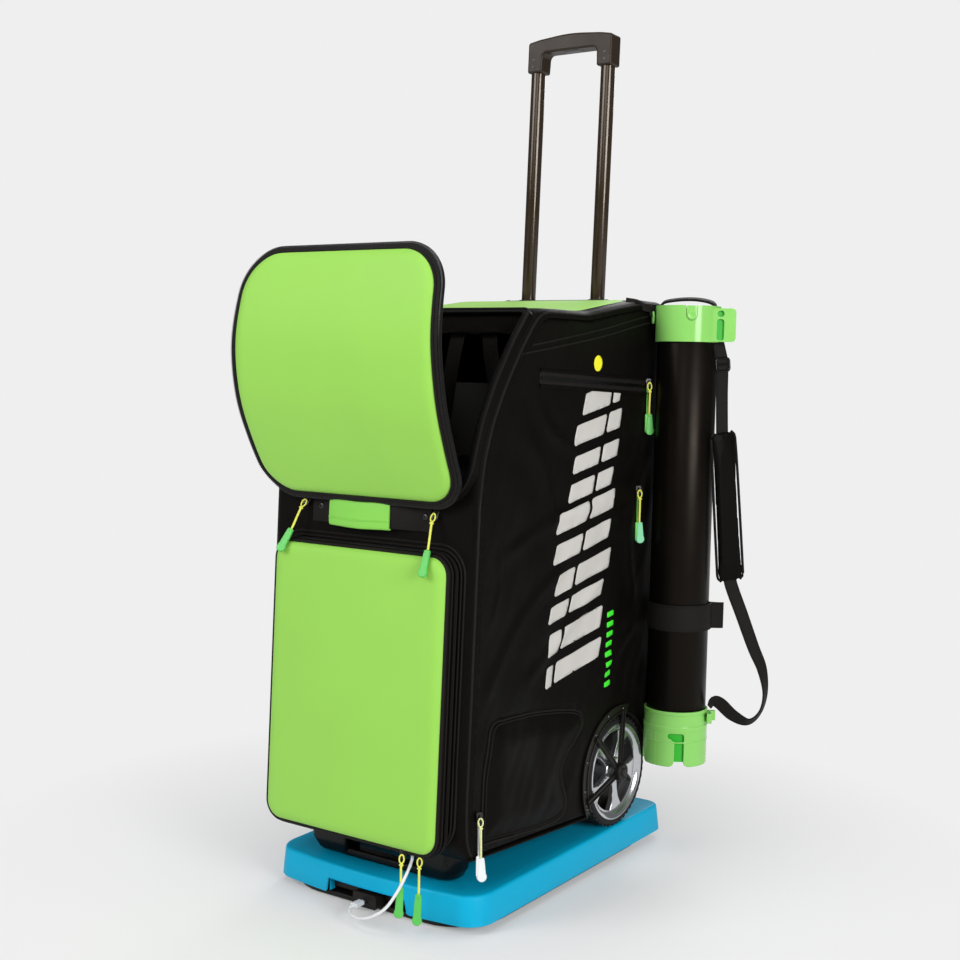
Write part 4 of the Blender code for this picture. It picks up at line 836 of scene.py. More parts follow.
def wheel_well(sign, name):
    """Moulded liner round the wheel: a curved wall and its flat inner side."""
    steps = 60
    turn = np.radians(np.linspace(5, 217, steps))
    rows = []
    for x in (0.1455, 0.150, 0.170, 0.1885):
        radius = WELL_RADIUS - (0.001 if x > WELL_INNER else 0.004)
        rows.append(np.stack([np.full(steps, sign * x), radius * np.cos(turn), WHEEL_Z + radius * np.sin(turn)], 1))
    points = np.vstack(rows)
    wall = mesh_of(points, quads(len(rows), steps, join_count=False), points[:, :2])
    thicken(piece("wheel_well_" + name, wall, "black_plastic", "deck"), 0.0015)
    outline = np.vstack([arc((0, WHEEL_Z), WELL_RADIUS - 0.004, 5, 217, 40), [(-0.074, 0.031), (0.0925, 0.031)]])
    inner = panel(outline, flat_at(0, sign * 0.1452), 0.012)
    thicken(piece("wheel_well_side_" + name, inner, "lining", "deck"), 0.0015)


def side_details():
    """Pockets, seams and plain printed shapes on the bag's sides."""
    for sign, name in ((1, "right"), (-1, "left")):
        loop = POCKET_BORDER
        side_cord("pocket_piping_" + name, np.vstack([loop, loop[:2]]), 0.0017, "webbing", sign, 0.0012)
        middle = loop.mean(0)
        inner = middle + (loop - middle) * 0.955
        side_cord("pocket_seam_" + name, np.vstack([inner, inner[:2]]), 0.0010, "tape", sign, 0.0004)
        for k, route in enumerate((((-0.325, 0.738), (-0.12, 0.775), (0.02, 0.806), (0.085, 0.812)),
                                   ((-0.30, 0.752), (-0.12, 0.786), (0.02, 0.817), (0.085, 0.823)))):
            side_cord("side_piping_%s_%d" % (name, k), route, 0.0013, "webbing", sign, 0.0004)
        welt(sign, name)
        prints(sign, name)


def welt(sign, name):
    """Horizontal zip pocket high on the side: a closed coil zip between two lips of fabric."""
    low, high, middle = -0.275, 0.045, 0.707
    for k, z in enumerate((0.7185, 0.6955)):
        route = [(low, z), (low * 0.5, z), (high, z)]
        side_cord("welt_lip_%s_%d" % (name, k), route, 0.0024, "nylon", sign, 0.0002)
    tape = rounded(low, high, 0.6975, 0.7165, 0.002)
    made = panel(tape, on_side(sign, 0.0006), 0.004, flip=sign < 0)
    thicken(piece("welt_tape_" + name, made, "tape", "deck"), 0.001)
    line = smooth_line([(low + 0.004, middle), (-0.1, middle), (high - 0.004, middle)], 0.003)
    path = on_side(sign, 0.0016)(line)
    ahead = np.tile((0, 0, 1.0), (len(path), 1))
    out = np.tile((sign * 1.0, 0, 0), (len(path), 1))
    rows = [teeth(path, ahead, out, 0.0018, 0.0026, 0.0014, 0.0010),
            teeth(path, -ahead, out, 0.0018, 0.0026, 0.0014, 0.0010, 0.0009)]
    piece("welt_zip_" + name, join_meshes(rows), "dark_steel", "deck", smooth=0)


def prints(sign, name):
    """Plain slanted bars with one long cut across them, a column of short green bars and a yellow dot."""
    rng = random.Random(5)
    shapes = []
    z = 0.247
    while z < 0.672:
        share = (z - 0.247) / 0.43
        tall = 0.026 + 0.009 * rng.random()
        start = -0.238 + 0.085 * share ** 2 + 0.022 * rng.random()
        finish = -0.060 + 0.018 * share - 0.020 * rng.random()
        cut = -0.200 + 0.135 * share
        for left, right in ((start, cut - 0.004), (cut + 0.004, finish)):
            if right - left > 0.012:
                lean = 0.007
                corners = [(left, z, 0.002), (right, z + 0.24 * (right - left), 0.002),
                           (right + lean, z + tall + 0.24 * (right - left), 0.002), (left + lean, z + tall, 0.002)]
                shapes.append(filleted(corners, count=4) + (0, 0.24 * (left - start)))
        z += tall + 0.0150
    sheets = [panel(shape, on_side(sign, 0.0005), 0.0045, flip=sign < 0) for shape in shapes]
    thicken(piece("side_print_" + name, join_meshes(sheets), "print", "deck"), 0.0006)
    sheets = []
    for k in range(8):
        z = 0.230 + 0.0158 * k
        shape = filleted([(-0.0560, z, 0.001), (-0.0390, z + 0.004, 0.001), (-0.0390, z + 0.0125, 0.001),
                          (-0.0560, z + 0.0085, 0.001)], count=3)
        sheets.append(panel(shape, on_side(sign, 0.0005), 0.0035, flip=sign < 0))
    thicken(piece("side_small_print_" + name, join_meshes(sheets), "green_print", "deck"), 0.0006)
    dot = circle(0.0122, 40, (-0.118, 0.736))
    made = panel(dot, on_side(sign, 0.0005), 0.003, flip=sign < 0)
    thicken(piece("side_dot_" + name, made, "yellow", "deck"), 0.0006)


# ---------------------------------------------------------------- pillow-shaped green panels
def box_gap(points, half, low, high, corner):
    """Distance inwards from the edge of a rounded rectangle."""
    mid, tall = (low + high) / 2, (high - low) / 2
    a = np.abs(points[:, 0]) - (half - corner)
    b = np.abs(points[:, 1] - mid) - (tall - corner)
    outer = np.hypot(np.maximum(a, 0), np.maximum(b, 0)) + np.minimum(np.maximum(a, b), 0)
    return corner - outer


def pillow(gap, edge, rise):
    """Height of a soft panel whose edge rolls down over the given width."""
    share = np.clip(gap / edge, 0, 1)
    return rise * np.sqrt(np.maximum(1 - (1 - share) ** 2, 0))


def ringed(outline, insets, step):
    """The outline, and copies of it moved inwards, as extra points for a rolled edge."""
    loop = spaced(outline, step, True)
    outward = outward_of(loop, ahead_of(loop))
    return loop, [loop - outward * inset for inset in insets]


def soft_panel(outline, place, step, insets, flip=False):
    """A panel whose rolled edge has rings of points close together."""
    loop, rings = ringed(outline, insets, step)
    grid = triangle_grid(loop.min(0), loop.max(0), step)
    grid = grid[inside(grid, rings[-1])]
    grid = grid[nearest(grid, rings[-1]) > step * 0.6]
    count = len(loop)
    points = np.vstack([loop, *rings, grid])
    edges = [(k, (k + 1) % count) for k in range(count)]
    verts, _, faces, *_ = delaunay_2d_cdt([Vector(p) for p in points], edges, [], 0, 1e-7, False)
    verts, faces = np.array([tuple(v) for v in verts]), np.array(faces)
    faces = faces[inside(verts[faces].mean(1), loop)]
    if flip:
        faces = faces[:, ::-1]
    return mesh_of(place(verts), faces, verts)


ROLLED = (0.0006, 0.0016, 0.0030, 0.0050, 0.0075, 0.0110)


def lid():
    """Green domed panel on the top, with its black binding."""
    low, high = top_mark(-0.248), top_mark(0.012)
    half, corner = 0.166, 0.026

    def place(points, base=0.0):
        gap = box_gap(points, half, low, high, corner)
        share = np.clip((points[:, 1] - low) / (high - low), 0, 1)
        dome = 0.0020 * (1 - (points[:, 0] / half) ** 2) * np.sin(math.pi * share)
        return on_band(points, base + pillow(gap, 0.010, 0.0040) + dome)

    made = soft_panel(rounded(-half, half, low, high, corner), place, 0.006, ROLLED, flip=True)
    piece("lid_panel", made, "green", "deck", replaces=["top_panel"], smooth=60)
    loop = spaced(rounded(-half - 0.002, half + 0.002, low - 0.002, high + 0.002, corner), 0.004, True)
    piece("lid_binding", tube_along(on_band(loop, 0.0008), 0.0020, (0, 0, 1), 10, True), "webbing", "deck")
    loop = spaced(rounded(-half - 0.013, half + 0.013, low - 0.013, high + 0.013, corner + 0.01), 0.004, True)
    piece("lid_seam", tube_along(on_band(loop, 0.0004), 0.0013, (0, 0, 1), 8, True), "tape", "deck")


def bezel():
    """Glossy black plate round the handle's tubes, with its two collars and four screws."""
    outline = rounded(-0.108, 0.108, 0.042, 0.094, 0.012)
    plate = slab(outline, 0.8415, 0.8478)
    soften(piece("handle_plate", plate, "gloss_black", "deck", replaces=["handle_bezel"]), 0.003, 4)
    for sign, name in ((1, "right"), (-1, "left")):
        ring = turned([(0.0124, 0), (0.0172, 0), (0.0172, 0.0022), (0.0158, 0.0036), (0.0134, 0.0040),
                       (0.0124, 0.0034)], 48)
        place = BAG @ Matrix.Translation((sign * HANDLE_X, HANDLE_Y, 0.8460))
        piece("handle_collar_" + name, ring, "black_plastic", "deck", place)
        for k, y in enumerate((0.050, 0.086)):
            place = BAG @ Matrix.Translation((sign * 0.098, y, 0.8474))
            screw("handle_plate_screw_%s_%d" % (name, k), "deck", place,
                  0.0032, 0.0006, 0.0022, 0.0014, 0.0012, 0.0006)


# ---------------------------------------------------------------- front flap
FLAP_LINE = smooth_line([(-0.4360, 0.5165), (-0.4420, 0.5330), (-0.4580, 0.5650), (-0.4740, 0.6000),
                         (-0.4940, 0.6500), (-0.5070, 0.7000), (-0.5140, 0.7450), (-0.5140, 0.7900),
                         (-0.5090, 0.8380), (-0.5025, 0.8780)], 0.004)
FLAP_MARKS = marks_along(FLAP_LINE)
FLAP_TALL = float(FLAP_MARKS[-1])


def on_flap(points, depth=0.0):
    """Points across and along the flap, set at a depth behind its front face."""
    ahead = unit(np.gradient(FLAP_LINE, axis=0))
    back = np.stack([ahead[:, 1], -ahead[:, 0]], 1)
    mark = points[:, 1]
    past = mark - np.clip(mark, 0, FLAP_TALL)
    spot = sampled(mark, FLAP_MARKS, FLAP_LINE) + sampled(mark, FLAP_MARKS, ahead) * past[:, None]
    behind = sampled(mark, FLAP_MARKS, back)
    share = np.clip(mark / FLAP_TALL, 0, 1)
    bulge = 0.0060 * (1 - np.minimum(np.abs(points[:, 0]) / FLAP_HALF, 1) ** 2) * np.sin(math.pi * share) ** 0.7
    left = np.clip(-points[:, 0] / FLAP_HALF, 0, 1)
    bow = np.sin(math.pi * np.clip(0.10 + 0.86 * share, 0, 1)) ** 1.3 * left ** 1.5
    height = depth - bulge - 0.005 * bow
    return np.insert(spot + behind * height[:, None], 0, points[:, 0] - 0.021 * bow, axis=1)


def flap_outline(inset=0.0):
    """Edge of the flap, moved inwards."""
    half, low, high = FLAP_HALF - inset, inset, FLAP_TALL - inset
    return filleted([(half, low, 0.052 - inset * 0.6), (half, high, 0.064 - inset * 0.6),
                     (-half, high, 0.064 - inset * 0.6), (-half, low, 0.052 - inset * 0.6)], count=14)


def border_sweep(outline, place, section, step=0.004):
    """A closed border: (outwards, depth) offsets carried round an outline on a curved sheet."""
    loop = spaced(outline, step, True)
    outward = outward_of(loop, ahead_of(loop))
    points = np.stack([place(loop + outward * out, depth) for out, depth in section], 1).reshape(-1, 3)
    count, ring = len(loop), len(section)
    spans = np.broadcast_arrays((np.arange(count) * step)[:, None], marks_along(np.array(section))[None, :])
    mesh = mesh_of(points, quads(count, ring, True), np.stack(spans, 2).reshape(-1, 2))
    bm = bmesh.new()
    bm.from_mesh(mesh)
    bmesh.ops.recalc_face_normals(bm, faces=bm.faces)
    bm.to_mesh(mesh)
    bm.free()
    return mesh


def border_teeth(outline, place, out, depth, reach, pitch=0.0026, inwards=False):
    """Zip teeth round an outline that point outwards or inwards in the sheet's plane."""
    loop = spaced(outline, 0.003, True)
    loop = np.vstack([loop, loop[:1]])
    outward = outward_of(loop, unit(np.gradient(loop, axis=0))) * (-1 if inwards else 1)
    path = place(loop + outward * out, depth)
    side = unit(place(loop + outward * (out + 0.003), depth) - path)
    up = unit(path - place(loop + outward * out, depth + 0.001))
    return teeth(path, side, up, pitch, reach, 0.0022, 0.0014)


def oval(out, depth, width, thick, count=10):
    """Oval section of a binding, as (outwards, depth) offsets."""
    turn = np.linspace(0, 2 * math.pi, count, endpoint=False)
    return [(out + width * math.cos(a), depth + thick * math.sin(a)) for a in turn]


def flap():
    """Green moulded flap: pillow face, bound zip border, and its lined back."""
    outline = flap_outline(FLAP_INSET)

    def face(points):
        border = spaced(outline, 0.003, True)
        gap = nearest(points, border)
        return on_flap(points, 0.0070 - pillow(gap, 0.0130, 0.0075))

    made = soft_panel(outline, face, 0.006, ROLLED, flip=True)
    piece("flap_face", made, "green", "flap", replaces=["flap_panel"], smooth=60)
    edge = flap_outline(FLAP_INSET - 0.0015)
    piece("flap_inner_binding", border_sweep(edge, on_flap, oval(0, 0.0055, 0.0019, 0.0024)), "webbing", "flap")
    wall = [(-0.0075, 0.0060), (-0.0010, 0.0052), (0.0000, 0.0060), (0.0000, 0.0112), (-0.0015, 0.0120),
            (-0.0075, 0.0110)]
    border = border_sweep(flap_outline(0.0010), on_flap, wall)
    piece("flap_border", border, "tape", "flap", replaces=["flap_rim"])
    zip_teeth = border_teeth(flap_outline(0.0008), on_flap, 0.0, 0.0084, 0.0030)
    piece("flap_zip", zip_teeth, "dark_steel", "flap", smooth=0)
    piece("flap_outer_binding", border_sweep(flap_outline(0.0004), on_flap, oval(0, 0.0122, 0.0026, 0.0022)),
          "webbing", "flap")

    def behind(points):
        return on_flap(points, 0.0112 + 0.0010 * fold_noise(points, 2.2, 0.4, 2.0, 20.0))

    back = panel(flap_outline(0.004), behind, 0.007)
    thicken(piece("flap_lining", back, "lining", "flap"), -0.001)
    pocket = rounded(-0.115, 0.115, 0.060, 0.235, 0.02)
    made = panel(pocket, lambda p: on_flap(p, 0.0135 + 0.0012 * fold_noise(p, 4.2, 0.2, 2.0, 24.0)), 0.007)
    thicken(piece("flap_back_pocket", made, "nylon", "flap"), -0.0012)
    piece("flap_back_pocket_binding", border_sweep(pocket, on_flap, oval(0, 0.0135, 0.0026, 0.0018)),
          "webbing", "flap")


def flap_hinge():
    """Strip of fabric between the flap's lower edge and the bag."""
    cross = smooth_line([(-0.4150, 0.5170), (-0.4215, 0.5205), (-0.4262, 0.5275), (-0.4320, 0.5350)], 0.002)
    xs = np.linspace(-0.124, 0.124, 40)
    points = np.array([(x, y, z) for y, z in cross for x in xs])
    uvs = np.array([(x, k * 0.002) for k in range(len(cross)) for x in xs])
    made = mesh_of(points, quads(len(cross), len(xs), join_count=False), uvs)
    thicken(piece("flap_hinge_strip", made, "nylon", "deck"), 0.0016)


def opening():
    """Bound zip collar round the launcher's opening, with its lining inside."""
    def lifted(points, depth):
        return on_band(points, -depth)

    loop = opening_outline(0.002)
    wall = [(0.0090, 0.0010), (0.0060, -0.0012), (0.0030, -0.0036), (0.0012, -0.0080), (0.0004, -0.0096),
            (-0.0010, -0.0086), (-0.0012, -0.0060), (-0.0010, 0.0040), (0.0010, 0.0050)]
    piece("opening_collar", border_sweep(loop, lifted, wall), "nylon", "deck")
    piece("opening_binding", border_sweep(loop, lifted, oval(-0.0002, -0.0094, 0.0017, 0.0015)), "webbing", "deck")
    tape = [(-0.0008, -0.0086), (-0.0062, -0.0084), (-0.0062, -0.0076), (-0.0008, -0.0076)]
    piece("opening_tape", border_sweep(loop, lifted, tape), "tape", "deck")
    piece("opening_zip", border_teeth(loop, lifted, 0.0056, -0.0082, 0.0030, inwards=True), "dark_steel", "deck",
          smooth=0)
    piece("opening_outer_piping", border_sweep(opening_outline(0.0090), lifted, oval(0, 0.0004, 0.0015, 0.0017)),
          "webbing", "deck")
    lining_band()


def lining_band():
    """Loose wrinkled lining that hangs inside the opening's top and sides."""
    loop = spaced(opening_outline(-0.001), 0.005, True)
    keep = loop[:, 1] > front_mark(0.60)
    start = int(np.argmax(keep & ~np.roll(keep, 1)))
    loop = np.roll(loop, -start, 0)[:int(keep.sum())]
    ahead = unit(np.gradient(loop, axis=0))
    inward = np.stack([-ahead[:, 1], ahead[:, 0]], 1)
    middle = len(loop) // 2
    if inward[middle] @ (np.array([0, front_mark(0.7)]) - loop[middle]) < 0:
        inward = -inward
    rows = []
    for share in np.linspace(0, 1, 9):
        edge = loop + inward * (0.014 * share ** 1.5)
        crease = fold_noise(np.stack([np.arange(len(loop)) * 0.005, np.full(len(loop), share * 0.05)], 1),
                            6.4, 0.5, 1.5, 60.0)
        depth = 0.002 + 0.024 * share + 0.0060 * crease * share
        start = on_band(edge, 0)
        rows.append(start + (on_band(edge, -1.0) - start) * depth[:, None])
    uvs = np.array([(k * 0.005, r * 0.003) for r in range(len(rows)) for k in range(len(loop))])
    made = mesh_of(np.vstack(rows), quads(len(rows), len(loop), join_count=False), uvs)
    thicken(piece("opening_lining", made, "lining", "deck"), 0.0012)
    for name, lean in (("left", -1), ("right", 1)):
        top = np.array((0.060 + lean * 0.026, -0.262, 0.786))
        route = [top, top + (lean * 0.006, -0.004, -0.035), top + (lean * 0.016, -0.002, -0.085),
                 top + (lean * 0.030, 0.008, -0.140)]
        path = smooth_line(route, 0.006)
        side, up = frames_along(path, (0, -1, 0.2))
        piece("opening_tongue_" + name, sweep(path, side, up, flat_section(0.026, 0.002)), "webbing", "deck")


# ---------------------------------------------------------------- lower front door
DOOR_MID = (DOOR_LOW + DOOR_HIGH) / 2


def on_door(points, depth=0.0):
    """Points across and up the door, set at a depth behind its front face."""
    share = 1 - ((points[:, 1] - DOOR_MID) / (DOOR_HIGH - DOOR_MID)) ** 2
    crown = 0.0045 * np.clip(share, 0, 1) * np.clip(1 - (points[:, 0] / DOOR_HALF) ** 2, 0, 1)
    across = np.where(points[:, 0] < 0, points[:, 0] * 1.045, points[:, 0])
    return np.stack([across, -0.4405 + depth - crown, points[:, 1]], 1)


def door():
    """Green moulded door: pillow face, zip gusset, and its lined back."""
    half, low, high, corner = DOOR_HALF, DOOR_LOW, DOOR_HIGH, 0.026

    def face(points):
        gap = box_gap(points, half, low, high, corner)
        return on_door(points, 0.0075 - pillow(gap, 0.0150, 0.0085))

    made = soft_panel(rounded(-half, half, low, high, corner), face, 0.0065, ROLLED, flip=True)
    piece("door_face", made, "green", "door", replaces=["door_panel"], smooth=60)

    def edge(grow):
        return rounded(-half - grow, half + grow, low - grow, high + grow, corner + grow)

    def border(name, grow, section, look, replaces=()):
        piece(name, border_sweep(edge(grow), on_door, section), look, "door", replaces=replaces)

    border("door_front_binding", 0.0016, oval(0, 0.0078, 0.0026, 0.0028), "webbing")
    wall = [(-0.004, 0.0080), (0.0030, 0.0082), (0.0044, 0.0096), (0.0050, 0.0160), (0.0048, 0.0230),
            (0.0040, 0.0252), (-0.0020, 0.0255), (-0.0020, 0.0235), (0.0018, 0.0230), (0.0020, 0.0110),
            (-0.004, 0.0095)]
    border("door_wall", 0.0010, wall, "nylon", ["door_gusset"])
    piece("door_zip", border_teeth(edge(0.0046), on_door, 0.0010, 0.0166, 0.0022), "dark_steel", "door", smooth=0)
    for k, depth in enumerate((0.0128, 0.0204)):
        border("door_zip_edge_%d" % k, 0.0056, oval(0, depth, 0.0013, 0.0013, 8), "tape")
    border("door_back_binding", 0.0046, oval(0, 0.0245, 0.0022, 0.0020), "webbing")
    for k, grow in enumerate((0.0100, 0.0165)):
        outline = rounded(-0.1620 - grow + 0.0046, half + grow, low + 0.004, high + grow, corner + grow)
        made = border_sweep(outline, flat_at(1, -0.4118), oval(0, -0.0012, 0.0017, 0.0020))
        piece("door_frame_piping_%d" % k, made, "webbing", "deck")
    back = panel(edge(-0.002), lambda p: on_door(p, 0.0165 + 0.0010 * fold_noise(p, 8.2, 0.4, 2.0, 18.0)), 0.0085)
    thicken(piece("door_lining", back, "lining", "door"), -0.001)


# ---------------------------------------------------------------- grab handle and front foot
def grab():
    """Webbing grab handle with a green sleeve, riveted to a patch on the bag's front."""
    route = [(-0.110, -0.4145, 0.500), (-0.094, -0.4150, 0.500), (-0.080, -0.4185, 0.500), (-0.060, -0.4255, 0.500),
             (-0.013, -0.4290, 0.4985), (0.034, -0.4255, 0.500), (0.072, -0.4185, 0.500), (0.088, -0.4150, 0.500),
             (0.110, -0.4145, 0.500)]
    path = smooth_line(route, 0.004)
    side, up = frames_along(path, (0, -1, 0))
    piece("grab_webbing", sweep(path, side, up, flat_section(0.034, 0.0026)), "webbing", "deck",
          replaces=["grab_handle"])
    use = (path[:, 0] > -0.071) & (path[:, 0] < 0.044)
    core, side, up = path[use], side[use], up[use]
    around_count = 28
    turn = np.arange(around_count) * 2 * math.pi / around_count
    section = np.stack([0.0195 * np.sign(np.cos(turn)) * np.abs(np.cos(turn)) ** 0.35,
                        0.0040 * np.sign(np.sin(turn)) * np.abs(np.sin(turn)) ** 0.6], 1)
    count = len(core)
    puff = np.array([1 + 0.02 * noise.noise((k * 0.7, 0, 1.5)) for k in range(count)])
    points = (core[:, None, :] + side[:, None, :] * section[None, :, :1]
              + up[:, None, :] * section[None, :, 1:] * puff[:, None, None])
    faces = quads(count, around_count) + end_caps(count, around_count)
    uvs = np.array([(i * 0.004, j * 0.0017) for i in range(count) for j in range(around_count)])
    piece("grab_sleeve", mesh_of(points.reshape(-1, 3), faces, uvs), "green_cloth", "deck", smooth=50)
    seam = core + side * 0.0075 + up * 0.0042
    piece("grab_seam", tube_along(seam, 0.0008, (0, -1, 0), 6), "green_cloth", "deck")
    for k, (x, z) in enumerate(((-0.094, 0.506), (0.100, 0.504))):
        rivet = turned([(0, 0), (0.0050, 0), (0.0050, 0.0010), (0.0040, 0.0020), (0.0022, 0.0024), (0.0016, 0.0014),
                        (0, 0.0014)], 28, "Y")
        place = BAG @ Matrix.Translation((x, -0.4155, z)) @ Matrix.Rotation(math.pi, 4, "X")
        piece("grab_rivet_%d" % k, rivet, "dark_steel", "deck", place)
    patch = rounded(-0.128, 0.128, 0.4745, 0.5235, 0.006)
    made = panel(patch, flat_at(1, -0.4128), 0.01, flip=True)
    thicken(piece("grab_patch", made, "webbing", "deck"), -0.0014)


def foot_block(left, right, outer):
    """One block of the front foot: its outer corner is round, and it narrows towards the deck."""
    front, back = -0.3670, -0.3250
    rings = []
    for z, tuck in ((0.0297, 0.0), (0.0120, 0.0012), (-0.0060, 0.0042), (-0.0170, 0.0080), (-0.0235, 0.0115),
                    (-0.0270, 0.0150), (-0.0288, 0.0190), (-0.0292, 0.0240)):
        low, high = (left + 0.3 * tuck, right - tuck) if outer > 0 else (left + tuck, right - 0.3 * tuck)
        near = front + 0.8 * tuck
        corners = [(high, near, 0.022 if outer > 0 else 0.004), (high, back, 0.004), (low, back, 0.004),
                   (low, near, 0.004 if outer > 0 else 0.012)]
        ring = filleted(corners)
        lean = (ring[:, 1] + 0.398) * 0.075 * (1 if z < -0.010 else 0)
        rings.append(np.column_stack([ring, z + lean]))
    count = len(rings[0])
    faces = quads(len(rings), count) + end_caps(len(rings), count)
    made = bmesh.new()
    made.from_mesh(mesh_of(np.vstack(rings), faces))
    bmesh.ops.recalc_face_normals(made, faces=made.faces)
    return as_mesh(made)


def stand():
    """Moulded front foot: two blocks that stand on the deck and the low bar between them."""
    bar = filleted([(-0.3560, -0.0130, 0.004), (-0.3560, -0.0258, 0.004), (-0.3340, -0.0242, 0.003),
                    (-0.3340, -0.0130, 0.003)])
    pieces = [foot_block(0.0655, 0.1410, 1), foot_block(-0.1410, -0.0655, -1),
              as_mesh(slab(bar, -0.0800, 0.0800, "YZ"))]
    obj = piece("front_foot", join_meshes(pieces), "gloss_plastic", "deck", replaces=["front_stand"], smooth=40)
    soften(obj, 0.0012, 2)


# ---------------------------------------------------------------- wheels
def wheel(sign, side):
    """Knobbed tyre on a silver rim with five spokes, and the black bracket over it."""
    body = "wheel_" + side
    hub = BAG @ Matrix.Translation((0, 0, WHEEL_Z))

    def ring(profile, sides):
        """A turned ring from (radius, distance from the bag's middle) points."""
        return turned([(radius, sign * x) for radius, x in profile], sides, "X")

    knobs = 48
    parts = [as_mesh(ring(((0.0775, 0.1550), (0.0820, 0.1540), (0.0852, 0.1562), (0.0864, 0.1610),
                           (0.0864, 0.1828), (0.0852, 0.1876), (0.0820, 0.1900), (0.0775, 0.1886)), 96))]
    for k in range(knobs):
        for x, shift in ((0.1600, 0.0), (0.1715, 0.5), (0.1830, 0.0)):
            angle = 2 * math.pi * k / knobs + shift * 2 * math.pi / knobs
            knob = block((0.0085, 0.0056, 0.0034))
            place = Matrix.Rotation(-angle, 4, "X") @ Matrix.Translation((sign * x, 0, 0.0866))
            bmesh.ops.transform(knob, matrix=place, verts=knob.verts)
            parts.append(as_mesh(knob))
    soften(piece("tyre_" + side, join_meshes(parts), "rubber", body, hub, ["tyre_" + side]), 0.0006, 2)
    lip = ring(((0.0780, 0.1560), (0.0780, 0.1880), (0.0774, 0.1893), (0.0758, 0.1898), (0.0735, 0.1890),
                (0.0705, 0.1866), (0.0685, 0.1842), (0.0665, 0.1832), (0.0645, 0.1826), (0.0645, 0.1800),
                (0.0700, 0.1790), (0.0720, 0.1700), (0.0720, 0.1560)), 96)
    piece("rim_lip_" + side, lip, "silver", body, hub, ["wheel_rim_" + side], 25)
    parts = []
    for k in range(5):
        turn = 2 * math.pi * k / 5 + 0.35
        left, right = [], []
        for radius, lean, wide in ((0.0200, 0.0, 0.0068), (0.0330, 0.02, 0.0062), (0.0470, 0.05, 0.0085),
                                   (0.0580, 0.07, 0.0140), (0.0668, 0.08, 0.0215)):
            centre = Vector((radius * math.sin(turn + lean), radius * math.cos(turn + lean)))
            tangent = Vector((math.cos(turn + lean), -math.sin(turn + lean)))
            left.append(tuple(centre + tangent * wide))
            right.append(tuple(centre - tangent * wide))
        parts.append(as_mesh(slab(left + right[::-1], sign * 0.1725, sign * 0.1822, "YZ")))
    parts.append(as_mesh(ring(((0.0070, 0.1560), (0.0230, 0.1560), (0.0230, 0.1815), (0.0220, 0.1830),
                               (0.0170, 0.1845), (0.0070, 0.1845)), 64)))
    soften(piece("rim_spokes_" + side, join_meshes(parts), "silver", body, hub), 0.0014, 3)
    back = ring(((0.0150, 0.1570), (0.0725, 0.1570), (0.0725, 0.1590), (0.0150, 0.1590)), 64)
    piece("rim_back_" + side, back, "black_plastic", body, hub)
    bracket(sign, side, hub)


def bracket(sign, side, hub):
    """Arch trim round the wheel with three arms to the hub cap, and its screws."""
    parts = []
    for inner, outer, low, high in ((0.0932, 0.1086, 0.1886, 0.1912), (0.0932, 0.0962, 0.1886, 0.1930),
                                    (0.1056, 0.1086, 0.1886, 0.1926)):
        ring = arc((0, 0), outer, 78, 212, 40) + arc((0, 0), inner, 212, 78, 40)
        parts.append(as_mesh(slab(ring, sign * low, sign * high, "YZ")))
    for angle in (88, 139, 200):
        a = math.radians(angle)
        ahead, beside = Vector((math.cos(a), math.sin(a))), Vector((-math.sin(a), math.cos(a)))
        for shift, wide, low, high in ((0.0, 0.0052, 0.1915, 0.1945), (0.0036, 0.0010, 0.1940, 0.1962),
                                       (-0.0036, 0.0010, 0.1940, 0.1962)):
            corners = [ahead * 0.010 + beside * (shift - wide), ahead * 0.0985 + beside * (shift - wide * 0.9),
                       ahead * 0.0985 + beside * (shift + wide * 0.9), ahead * 0.010 + beside * (shift + wide)]
            parts.append(as_mesh(slab([tuple(c) for c in corners], sign * low, sign * high, "YZ")))
    cap = turned([(radius, sign * x) for radius, x in (
        (0, 0.1910), (0.0150, 0.1910), (0.0150, 0.1990), (0.0140, 0.2010), (0.0105, 0.2020), (0.0098, 0.2010),
        (0.0070, 0.2010), (0.0062, 0.2035), (0, 0.2040))], 48, "X")
    parts.append(as_mesh(cap))
    obj = piece("arch_bracket_" + side, join_meshes(parts), "black_plastic", "deck", hub, ["wheel_bracket_" + side])
    soften(obj, 0.0007, 2)
    for k, angle in enumerate((86, 112, 137, 163, 189, 207)):
        a = math.radians(angle)
        place = hub @ Matrix.Translation((sign * 0.1911, 0.1010 * math.cos(a), 0.1010 * math.sin(a)))
        if sign < 0:
            place = place @ Matrix.Rotation(math.pi, 4, "Z")
        screw("arch_screw_%s_%d" % (side, k), "deck", place, 0.0034, 0.0008, 0.0024, 0.0018, 0.0014, 0.0008, "X")


